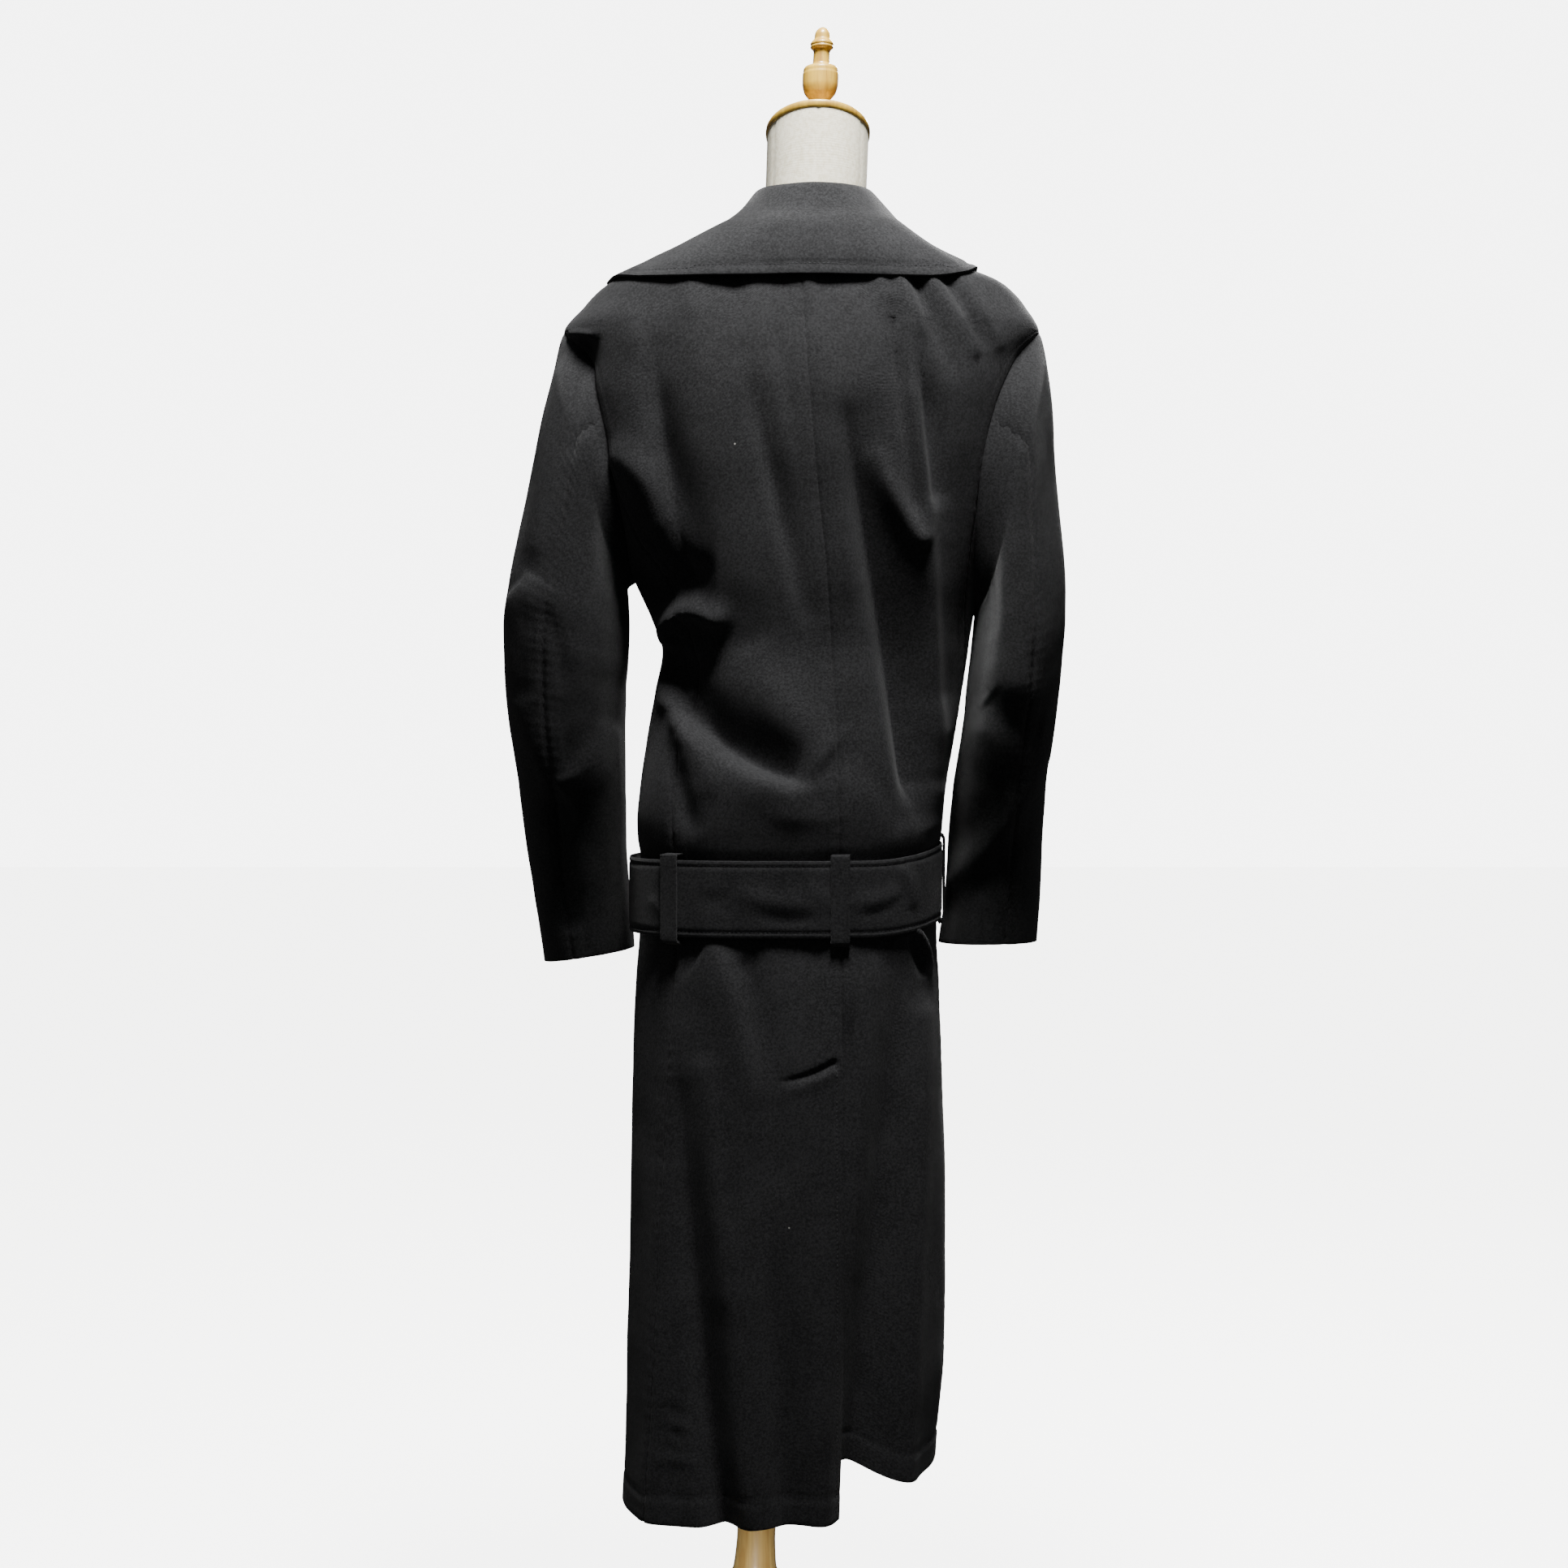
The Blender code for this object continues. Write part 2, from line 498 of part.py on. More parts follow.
def fold_curves(table):
    curves = []
    for row in table.values():
        x0, z0, x1, z1, x2, z2, half_width, start, end = row
        t = np.linspace(0, 1, 25)[:, None]
        # a curve through the middle point, not only pulled towards it
        first, through, last = np.array([[x0, z0], [x1, z1], [x2, z2]])
        pull = 2 * through - 0.5 * (first + last)
        line = (1 - t) ** 2 * first + 2 * t * (1 - t) * pull + t**2 * last
        fade = np.clip(np.minimum(t, 1 - t) / FOLD_FADE, 0, 1)[:, 0]
        if z2 < HEM_Z:  # a fold that runs out at the hem keeps its height there
            fade = np.clip(t[:, 0] / FOLD_FADE, 0, 1)
        height = (start + (end - start) * t[:, 0]) * fade * fade * (3 - 2 * fade)
        curves.append((line, height, half_width))
    return curves


BACK_CURVES = fold_curves(BACK_FOLDS)
FRONT_CURVES = fold_curves(FRONT_FOLDS)


def fold_height(point, normal):
    """How far the folds raise the cloth here, on the side that it faces."""
    facing = smoothstep(*FOLD_FACING, abs(normal[1]))
    if facing == 0:
        return 0.0
    total = 0.0
    for line, height, half_width in BACK_CURVES if normal[1] > 0 else FRONT_CURVES:
        away = np.hypot(line[:, 0] - point[0], line[:, 1] - point[2])
        near = int(np.argmin(away))
        if away[near] < 3 * half_width:
            total += height[near] * math.exp(-((away[near] / half_width) ** 2))
    return total * facing


def body_frame(share, z):
    """The coat's plain surface and its outward normal."""
    here = girth_point(read_body(z), share, z)
    round_step = girth_point(read_body(z), share + NORMAL_STEP_F, z) - girth_point(
        read_body(z), share - NORMAL_STEP_F, z
    )
    up_step = girth_point(read_body(z + NORMAL_STEP_Z), share, z + NORMAL_STEP_Z) - girth_point(
        read_body(z - NORMAL_STEP_Z), share, z - NORMAL_STEP_Z
    )
    return here, unit(np.cross(round_step, up_step)) * -1


def body_point(share, z, out=0.0):
    here, normal = body_frame(share, z)
    return here + normal * (fold_height(here, normal) + out)


def back_share(x, z):
    """The share of the girth at which the back reaches this X."""
    low, high = -0.24, 0.24
    section = read_body(z)
    for _ in range(24):
        middle = (low + high) / 2
        if girth_point(section, middle, z)[0] < x:
            low = middle
        else:
            high = middle
    return (low + high) / 2


def centre_share(z):
    return back_share(read_centre_back(z), z)


def front_lift(share):
    """The right front lies over the left one, where it wraps."""
    return WRAP_LIFT * smoothstep(*WRAP_SHARES, abs(share)) if share < 0 else 0.0


def close_wall(name, outer, inner, material):
    """A closed wall between two grids of points that match."""
    rows, cols = len(outer), len(outer[0])
    mesh = bmesh.new()
    skins = [
        [[mesh.verts.new(point) for point in row] for row in grid] for grid in (outer, inner)
    ]
    for skin in skins:
        for i in range(rows - 1):
            for j in range(cols - 1):
                mesh.faces.new(
                    (skin[i][j], skin[i][j + 1], skin[i + 1][j + 1], skin[i + 1][j])
                )
    rim = (
        [(0, j) for j in range(cols)]
        + [(i, cols - 1) for i in range(1, rows)]
        + [(rows - 1, j) for j in range(cols - 2, -1, -1)]
        + [(i, 0) for i in range(rows - 2, 0, -1)]
    )
    for (a, b), (c, d) in zip(rim, rim[1:] + rim[:1]):
        mesh.faces.new((skins[0][a][b], skins[0][c][d], skins[1][c][d], skins[1][a][b]))
    return finish(name, mesh, material)


def finish(name, mesh, material):
    bmesh.ops.recalc_face_normals(mesh, faces=mesh.faces)
    if mesh.calc_volume(signed=True) < 0:
        bmesh.ops.reverse_faces(mesh, faces=mesh.faces)
    data = bpy.data.meshes.new(name)
    mesh.to_mesh(data)
    mesh.free()
    data.materials.append(material)
    data.shade_smooth()
    data.set_sharp_from_angle(angle=math.radians(50))
    thing = bpy.data.objects.new(name, data)
    bpy.context.scene.collection.objects.link(thing)
    return thing


def armhole_mark(hole, angle):
    """Share and height of the armhole edge at an angle from its tip, by the back."""
    turn = math.radians(angle)
    wide = hole["back"] if math.sin(turn) >= 0 else hole["front"]
    share = 0.25 - wide * math.sin(turn)
    reach = hole["tip_z"] if math.cos(turn) >= 0 else 2 * hole["join_z"] - hole["foot_z"]
    z = hole["join_z"] + abs(reach - hole["join_z"]) * math.cos(turn)
    return hole["side"] * share, z


def panel_rows(hole):
    tip, join = hole["tip_z"], hole["join_z"]
    arc = [join + (tip - join) * math.cos(math.radians(angle)) for angle in ARC_ANGLES]
    shoulder = [tip + (NECK_SEAM_Z - tip) * step for step in SHOULDER_STEPS]
    return [None, *LOW_ROWS, *ARM_ROWS, *arc, *shoulder]


def spread(first, last, count):
    return [first + (last - first) * i / count for i in range(count + 1)]


def panel(name, side, rows, material):
    """rows: lists of (share, z, out). A z of None is the hem."""
    hem = read_hem[side]
    outer, inner = [], []
    for row in rows:
        marks = [(share, hem(share) if z is None else z, out) for share, z, out in row]
        outer.append([body_point(share, z, out) for share, z, out in marks])
        inner.append([body_point(share, z, out - CLOTH) for share, z, out in marks])
    return close_wall(name, outer, inner, material)


def armhole_side_share(hole, z):
    """Where the back ends against the sleeve, above the side seam."""
    rise = min(max((z - hole["join_z"]) / (hole["tip_z"] - hole["join_z"]), 0), 1)
    return math.sqrt(1 - rise * rise)


def back_panel(side, material):
    hole = ARMHOLES[side]
    sign = hole["side"]
    rows = []
    for z in panel_rows(hole):
        level = HEM_Z if z is None else z
        gap = HALF_GAP / girth(level)
        centre = centre_share(level)
        if z is not None and z > hole["join_z"]:
            edge = sign * (0.25 - hole["back"] * armhole_side_share(hole, z))
        else:
            edge = read_seam["back_" + side](level)
        start = centre + sign * gap
        sunk = 0.0
        if sign < 0:
            start += VENT_UNDERLAP / girth(level) * smoothstep(*VENT_UNDERLAP_Z, -level)
            sunk = -VENT_DEPTH * smoothstep(*VENT_SINK_Z, -level)
        rows.append(
            [
                (share, z, sunk * smoothstep(*VENT_SINK_SHARES, share - centre))
                for share in spread(start, edge - sign * gap, BACK_COLUMNS)
            ]
        )
    return panel("back_" + side, side, rows, material)


def side_panel(side, material):
    hole = ARMHOLES[side]
    sign = hole["side"]
    top = [armhole_mark(hole, angle) for angle in UNDERARM_ANGLES]
    first, last = top[0][0], top[-1][0]
    levels = [None, *LOW_ROWS, *ARM_ROWS]
    base, join = LOW_ROWS[-1], hole["join_z"]
    rows = []
    for z in levels:
        level = HEM_Z if z is None else z
        gap = HALF_GAP / girth(level)
        back = read_seam["back_" + side](level) + sign * gap
        front = read_seam["front_" + side](level) - sign * gap
        even = spread(back, front, len(top) - 1)
        row = []
        for k, (share, foot) in enumerate(top):
            rise = 0.0 if z is None else min(max((z - base) / (join - base), 0.0), 1.0)
            across = (share - first) / (last - first)
            mixed = even[k] + ((back + (front - back) * across) - even[k]) * rise
            row.append((mixed, base + (foot - base) * rise if rise > 0 else z, 0.0))
        rows.append(row)
    return panel("side_" + side, side, rows, material)


def front_edge_share(sign, z):
    """The free edge of a front: the wrap below the collar's break, then the neck edge."""
    key = "under" if sign > 0 else "over"
    wrap_z = WRAP[-1][0]
    if z <= wrap_z:
        return sign * read_wrap[key](z)
    marks = [(row[1], row[0]) for row in COLLAR if row[1] < NECK_SEAM_Z]
    marks += [(NECK_SEAM_Z, COLLAR_TURN), (wrap_z, read_wrap[key](wrap_z))]
    marks.sort()
    zs = np.array([mark[0] for mark in marks])
    shares = np.array([mark[1] for mark in marks])
    return sign * smooth_read(z, zs, shares)


def front_panel(side, material):
    hole = ARMHOLES[side]
    sign = hole["side"]
    rows = []
    for z in panel_rows(hole):
        level = HEM_Z if z is None else z
        gap = HALF_GAP / girth(level)
        if z is not None and z > hole["join_z"]:
            edge = sign * (0.25 + hole["front"] * armhole_side_share(hole, z))
        else:
            edge = read_seam["front_" + side](level)
        shares = spread(edge + sign * gap, front_edge_share(sign, level), FRONT_COLUMNS)
        rows.append([(share, z, front_lift(share)) for share in shares])
    return panel("front_" + side, side, rows, material)


def sleeve_surface(side):
    """A function of an angle round the sleeve and a distance down it in rings."""
    hole = ARMHOLES[side]
    rings = SLEEVES[side]
    down = np.arange(len(rings) + 1, dtype=float)
    tables = [columns(rings, SLEEVE_COLUMNS, key) for key in SLEEVE_COLUMNS]

    def ring(angle, v):
        outer_x, outer_z, inner_x, inner_z, middle_y, half_depth = [
            smooth_read(v, down[1:], table) for table in tables
        ]
        turn = math.radians(angle)
        ca, sa = math.cos(turn), math.sin(turn)
        reach = (abs(ca) ** SLEEVE_SQUARE + abs(sa) ** SLEEVE_SQUARE) ** (-1 / SLEEVE_SQUARE)
        across, round_y = ca * reach, sa * reach
        return np.array(
            [
                (outer_x + inner_x) / 2 + across * (outer_x - inner_x) / 2,
                middle_y + half_depth * round_y,
                (outer_z + inner_z) / 2 + across * (outer_z - inner_z) / 2,
            ]
        )

    def start(angle):
        share, z = armhole_mark(hole, angle)
        out = SLEEVE_START_OUT * smoothstep(0.0, 0.8, -math.cos(math.radians(angle)))
        edge = body_point(share, z, out)
        middle = body_point(hole["side"] * 0.25, hole["join_z"], out)
        return edge + unit(middle - edge) * SLEEVE_INSET

    def surface(angle, v):
        if v >= 1:
            return ring(angle, v)
        return start(angle) * (1 - v) + ring(angle, 1) * v

    return surface


def sleeve_frame(surface, angle, v):
    here = surface(angle, v)
    round_step = surface(angle + 1.5, v) - surface(angle - 1.5, v)
    low, high = max(v - 0.04, 0.0), v + 0.04
    if v < 1:
        high = min(high, 1.0)
    down_step = surface(angle, high) - surface(angle, low)
    normal = unit(np.cross(round_step, down_step))
    return here, normal


def sleeve_angles(first, last):
    every = set(ARMHOLE_ANGLES) | {360 - angle for angle in ARMHOLE_ANGLES}
    every |= {angle - 360 for angle in every}
    return sorted(angle for angle in every if first <= angle <= last)


def sleeve_piece(side, name, first, last, material):
    surface = sleeve_surface(side)
    centre = [surface(0, v) / 2 + surface(180, v) / 2 for v in range(len(SLEEVES[side]) + 1)]
    outer, inner = [], []
    last_ring = len(SLEEVES[side])
    levels = [0.0, 0.5] + spread(1.0, last_ring, SLEEVE_STEPS)
    for v in levels:
        around = np.linalg.norm(surface(0, v) - surface(180, v)) * math.pi / 2
        gap = math.degrees(SLEEVE_HALF_GAP / (around / (2 * math.pi)))
        outer_row, inner_row = [], []
        for angle in sleeve_angles(first, last):
            turned = angle + (gap if angle == first else 0) - (gap if angle == last else 0)
            mark, normal = sleeve_frame(surface, angle, v)
            middle = centre[min(int(round(v)), last_ring)]
            if np.dot(normal, mark - middle) < 0:
                normal = -normal
            height = fold_height(mark, normal) * smoothstep(0.0, 1.2, v)
            here = surface(turned, v)
            outer_row.append(here + normal * height)
            inner_row.append(here + normal * (height - CLOTH))
        outer.append(outer_row)
        inner.append(inner_row)
    return close_wall(name, outer, inner, material)


def collar_stations():
    """The collar's rows for both sides, from the left break round the neck to the right."""
    left = [(1, dict(zip(COLLAR_COLUMNS, row))) for row in reversed(COLLAR)]
    right = [(-1, dict(zip(COLLAR_COLUMNS, row))) for row in COLLAR[1:]]
    return left + right


def collar_profile(side, row):
    """Points across the collar: up the stand, over the roll and down the fall."""
    share, z, stand = row["share"], row["z"], row["stand"]
    lift = COLLAR_RIGHT_LIFT * smoothstep(0.10, 0.25, share) if side < 0 else 0.0
    lift *= 1 - smoothstep(0.33, 0.46, share)
    clear = front_lift(side * share)
    past = SEAM_GAP + COLLAR_PAST * smoothstep(0.26, 0.34, share)
    seam_share = share + past * smoothstep(0.24, 0.30, share) / girth(min(z, 1.45))
    points = [
        body_point(side * seam_share, z + SEAM_GAP + stand * rise, clear + out)
        for rise, out in COLLAR_STAND
    ]
    outs = np.array([COLLAR_TOP_OUT] + [row[key] for key in COLLAR_COLUMNS[5:]])
    for t in FALL_STEPS:
        here_share = share + (row["edge_share"] - share) * t
        here_z = z + (row["edge_z"] + lift - z) * t
        out = smooth_read(t, FALL_MARKS, outs)
        points.append(body_point(side * here_share, here_z, out + clear))
    return points


def grid_wall(name, grid, material, flip=False):
    """A wall on one side of a grid of points, with normals taken from the grid itself."""
    grid = np.array(grid)
    along = np.gradient(grid, axis=0)
    across = np.gradient(grid, axis=1)
    normals = np.cross(along, across)
    normals /= np.linalg.norm(normals, axis=2)[:, :, None]
    if flip:
        normals = -normals
    return close_wall(name, grid.tolist(), (grid - normals * CLOTH).tolist(), material)


def refine(rows, count):
    """More stations along a grid, on a curve through the given ones."""
    rows = np.array(rows)
    length = np.zeros(len(rows))
    middle = rows[:, rows.shape[1] // 2]
    length[1:] = np.cumsum(np.linalg.norm(np.diff(middle, axis=0), axis=1))
    wanted = np.linspace(0, length[-1], count)
    out = np.zeros((count, rows.shape[1], 3))
    for j in range(rows.shape[1]):
        for k in range(3):
            out[:, j, k] = [smooth_read(s, length, rows[:, j, k]) for s in wanted]
    return out


def make_collar(material):
    stations = collar_stations()
    rows = [collar_profile(side, row) for side, row in stations]
    turns = [i for i, (_, row) in enumerate(stations) if row["share"] == COLLAR_TURN]
    left, neck, right = COLLAR_STATIONS
    runs = (
        refine(rows[: turns[0] + 1], left)[:-1],
        refine(rows[turns[0] : turns[1] + 1], neck),
        refine(rows[turns[1] :], right)[1:],
    )
    return grid_wall("collar", np.concatenate(runs), material, flip=True)


def belt_middle(share):
    """The belt rides up a little over the right side."""
    share = (share + 0.5) % 1.0 - 0.5
    away = abs(abs(share) - 0.25)
    return BELT_Z + (BELT_RISE * (1 - smoothstep(0.0, 0.16, away)) if share < 0 else 0.0)


def belt_point(share, height, out=0.0):
    here = girth_point(BELT_SECTION, share, belt_middle(share) + height)
    step = girth_point(BELT_SECTION, share + 0.002, 0) - girth_point(BELT_SECTION, share - 0.002, 0)
    return here + unit(np.array([-step[1], step[0], 0.0])) * out


def make_belt(material):
    """One band from its under end round to the tail, which lies over the start."""
    around = girth(BELT_Z)
    half = BELT_WIDTH / 2
    outer, inner = [], []
    for height in (-half, 0.0, half):
        outer_row, inner_row = [], []
        for share in spread(BELT_START, BELT_START - 1.0 - BELT_TAIL / around, BELT_STEPS):
            over = BELT_START - share
            out = CLOTH + BELT_LAYER * smoothstep(*BELT_OVER, over)
            past_bar = abs((BUCKLE_SHARE - 1.0) - share) * around
            if over > BELT_OVER[0]:
                out += BAR_LIFT * (1 - smoothstep(*BAR_LIFT_SPAN, past_bar))
            outer_row.append(belt_point(share, height, out))
            inner_row.append(belt_point(share, height, out - CLOTH))
        outer.append(outer_row)
        inner.append(inner_row)
    return close_wall("belt", outer, inner, material)


def make_buckle(material):
    """A frame with a middle bar: the tail runs over the bar and under both ends."""
    around = girth(BELT_Z)
    edge = BELT_WIDTH / 2 + BUCKLE_CLEAR
    shares = [BUCKLE_SHARE + step / around for step in BUCKLE_STEPS]
    heights = (-edge - BUCKLE_RIM, -edge, 0.0, edge, edge + BUCKLE_RIM)
    middle_bar, ends, across = 3, (0, len(shares) - 2), (0, len(heights) - 2)
    sizes = (len(shares) - 1, len(heights) - 1, len(BUCKLE_OUTS) - 1)

    def solid(i, j, k):
        if not all(0 <= at < size for at, size in zip((i, j, k), sizes)):
            return False
        return j in across or (i in ends and k == 2) or (i == middle_bar and k == 0)

    mesh = bmesh.new()
    corners = {}

    def corner(i, j, k):
        if (i, j, k) not in corners:
            corners[i, j, k] = mesh.verts.new(belt_point(shares[i], heights[j], BUCKLE_OUTS[k]))
        return corners[i, j, k]

    for cell in itertools.product(*map(range, sizes)):
        if not solid(*cell):
            continue
        for axis, ahead in itertools.product(range(3), (0, 1)):
            beside = list(cell)
            beside[axis] += 1 if ahead else -1
            if solid(*beside):
                continue
            u, v = [other for other in range(3) if other != axis]
            face = []
            for du, dv in ((0, 0), (1, 0), (1, 1), (0, 1)):
                at = list(cell)
                at[axis] += ahead
                at[u] += du
                at[v] += dv
                face.append(corner(*at))
            mesh.faces.new(face)
    return finish("buckle", mesh, material)


def make_loop(name, share, material):
    """A sewn loop that stands over the belt, from the coat above it to the coat below."""
    middle = belt_middle(share)
    wide = LOOP_WIDTH / 2 / girth(BELT_Z)
    grid = []
    for s in spread(share - wide, share + wide, 2):
        row = []
        for height, off_belt, off_coat in LOOP_PROFILE:
            if off_belt is None:
                row.append(body_point(s, middle + height, off_coat))
            else:
                row.append(belt_point(s, height, off_belt))
        grid.append(row)
    return grid_wall(name, grid, material, flip=False)


def ring_solid(name, rings, material):
    """A closed solid over a stack of rings of points, capped at both ends."""
    mesh = bmesh.new()
    made = [[mesh.verts.new(point) for point in ring] for ring in rings]
    for low, high in zip(made, made[1:]):
        count = len(low)
        for j in range(count):
            k = (j + 1) % count
            mesh.faces.new((low[j], low[k], high[k], high[j]))
    mesh.faces.new(list(reversed(made[0])))
    mesh.faces.new(made[-1])
    return finish(name, mesh, material)


def lean_x(z):
    return LEAN_FOOT_X + LEAN * z


def turned(name, profile, material):
    rings = []
    for z, radius in profile:
        rings.append(
            [
                (
                    lean_x(z) + radius * math.cos(2 * math.pi * k / ROUND_SIDES),
                    radius * math.sin(2 * math.pi * k / ROUND_SIDES),
                    z,
                )
                for k in range(ROUND_SIDES)
            ]
        )
    return ring_solid(name, rings, material)


def neck_shear(point):
    """The neck's top is a plane that falls towards the front."""
    weight = smoothstep(NECK_LEVEL_Z, NECK_TOP_Z, point[2])
    return np.array([point[0], point[1], point[2] + point[1] * math.tan(NECK_TILT) * weight])


def make_form(material):
    rings = []
    shares = [k / FORM_SIDES - 0.5 for k in range(FORM_SIDES)]
    for z in FORM_ROWS:
        rings.append([girth_point(read_form(z), share, z) for share in shares])
    for z in FORM_REST_ROWS:
        ring = []
        for share in shares:
            here, normal = body_frame(share, z)
            deep = CLOTH + FORM_REST_GAP + FORM_CHEST_IN * smoothstep(0.28, 0.50, abs(share))
            ring.append(here - normal * deep)
        rings.append(ring)
    for z in NECK_ROWS:
        rings.append([neck_shear(girth_point(read_neck(z), share, z)) for share in shares])
    return ring_solid("form_torso", rings, material)


def make_cap(material):
    """A wooden disc on the sloping top of the neck."""
    rings = []
    section = read_neck(NECK_TOP_Z)
    middle = np.array([(section[0] + section[1]) / 2, 0.0, NECK_TOP_Z])
    for rise, grow in CAP_RINGS:
        ring = []
        for k in range(FORM_SIDES):
            point = girth_point(section, k / FORM_SIDES - 0.5, NECK_TOP_Z)
            point = middle + (point - middle) * grow
            point = neck_shear(point)
            ring.append(point + np.array([0.0, 0.0, rise]))
        rings.append(ring)
    return ring_solid("form_cap", rings, material)


def make_finial(material):
    """A turned knob, cut to the slope of the cap at its foot."""
    rings = []
    for i, (z, radius) in enumerate(FINIAL):
        ring = []
        for k in range(ROUND_SIDES):
            turn = 2 * math.pi * k / ROUND_SIDES
            x, y = radius * math.cos(turn), radius * math.sin(turn)
            slope = math.tan(NECK_TILT) * (1 if i == 0 else 0.35 if i == 1 else 0)
            ring.append((lean_x(z) + x, y, z + 0.0007 + y * slope))
        rings.append(ring)
    return ring_solid("form_finial", rings, material)


def bezier(points, count):
    points = [np.array(point) for point in points]
    curve = []
    for i in range(count + 1):
        level, t = points, i / count
        while len(level) > 1:
            level = [a * (1 - t) + b * t for a, b in zip(level, level[1:])]
        curve.append(level[0])
    return curve


def make_hub(material):
    mesh = bmesh.new()
    bmesh.ops.create_cube(mesh, size=1.0)
    bmesh.ops.scale(
        mesh, vec=(2 * HUB_HALF, 2 * HUB_HALF, HUB_TOP_Z - HUB_LOW_Z), verts=mesh.verts
    )
    thing = finish("stand_hub", mesh, material)
    thing.location = (LEAN_FOOT_X + LEAN * HUB_TOP_Z, 0.0, (HUB_TOP_Z + HUB_LOW_Z) / 2)
    thing.rotation_euler = (0.0, 0.0, math.radians(45))
    bevel = thing.modifiers.new("edges", "BEVEL")
    bevel.width = 0.004
    bevel.segments = 2
    return thing


def make_leg(index, material):
    """A curved leg, extruded from its side view and turned round the hub."""
    outline = bezier(LEG_TOP, 12) + [(LEG_REACH, 0.0)] + bezier(LEG_UNDER, 12)
    mesh = bmesh.new()
    face = mesh.faces.new([mesh.verts.new((r, -LEG_WIDTH / 2, z)) for r, z in outline])
    made = bmesh.ops.extrude_face_region(mesh, geom=[face])
    moved = [part for part in made["geom"] if isinstance(part, bmesh.types.BMVert)]
    bmesh.ops.translate(mesh, vec=(0, LEG_WIDTH, 0), verts=moved)
    bmesh.ops.remove_doubles(mesh, verts=mesh.verts, dist=0.00001)
    thing = finish(f"stand_leg_{index + 1}", mesh, material)
    thing.location = (LEAN_FOOT_X + LEAN * HUB_TOP_Z, 0.0, 0.0)
    thing.rotation_euler = (0.0, 0.0, math.radians(45 + 90 * index))
    return thing


def main():
    clear_scene()
    wool = make_material("black_wool", (0.018, 0.018, 0.020), 0.85, 0.3)
    linen = make_material("linen", (0.74, 0.68, 0.56), 0.9)
    wood = make_material("turned_wood", (0.62, 0.43, 0.24), 0.45)
    horn = make_material("buckle_horn", (0.02, 0.018, 0.016), 0.3)

    for side in ("left", "right"):
        back_panel(side, wool)
        side_panel(side, wool)
        front_panel(side, wool)
        sleeve_piece(side, f"sleeve_{side}_top", FRONT_SLEEVE_SEAM - 360, BACK_SLEEVE_SEAM, wool)
        sleeve_piece(side, f"sleeve_{side}_under", BACK_SLEEVE_SEAM, FRONT_SLEEVE_SEAM, wool)
    make_collar(wool)
    make_belt(wool)
    make_buckle(horn)
    make_loop("loop_back", centre_share(BELT_Z), wool)
    make_loop("loop_left", read_seam["back_left"](BELT_Z), wool)
    make_loop("loop_right", read_seam["back_right"](BELT_Z), wool)

    make_form(linen)
    make_cap(wood)
    make_finial(wood)
    turned("stand_pole", POLE, wood)
    make_hub(wood)
    for index in range(LEG_COUNT):
        make_leg(index, wood)


main()
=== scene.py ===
import math
import bpy
import numpy as np
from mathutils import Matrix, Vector


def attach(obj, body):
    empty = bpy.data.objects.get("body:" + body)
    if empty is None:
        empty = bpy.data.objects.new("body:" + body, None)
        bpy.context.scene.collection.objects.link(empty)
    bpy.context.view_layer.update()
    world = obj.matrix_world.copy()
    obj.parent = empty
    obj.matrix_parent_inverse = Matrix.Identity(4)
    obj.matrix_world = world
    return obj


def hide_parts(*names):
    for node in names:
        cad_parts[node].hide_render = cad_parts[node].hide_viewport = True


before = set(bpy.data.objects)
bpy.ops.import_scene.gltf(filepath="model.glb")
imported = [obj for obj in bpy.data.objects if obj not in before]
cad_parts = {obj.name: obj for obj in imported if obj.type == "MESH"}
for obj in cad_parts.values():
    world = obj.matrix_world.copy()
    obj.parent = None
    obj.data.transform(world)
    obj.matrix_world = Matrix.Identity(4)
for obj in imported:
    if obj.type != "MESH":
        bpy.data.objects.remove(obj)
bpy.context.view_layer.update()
print("frame loaded with", len(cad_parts), "nodes")


def metres(rows, plain=0):
    # rows in millimetres, apart from the last plain numbers of each, which have no unit
    return [(*(v / 1000 for v in row[:len(row) - plain]), *row[len(row) - plain:]) for row in rows]


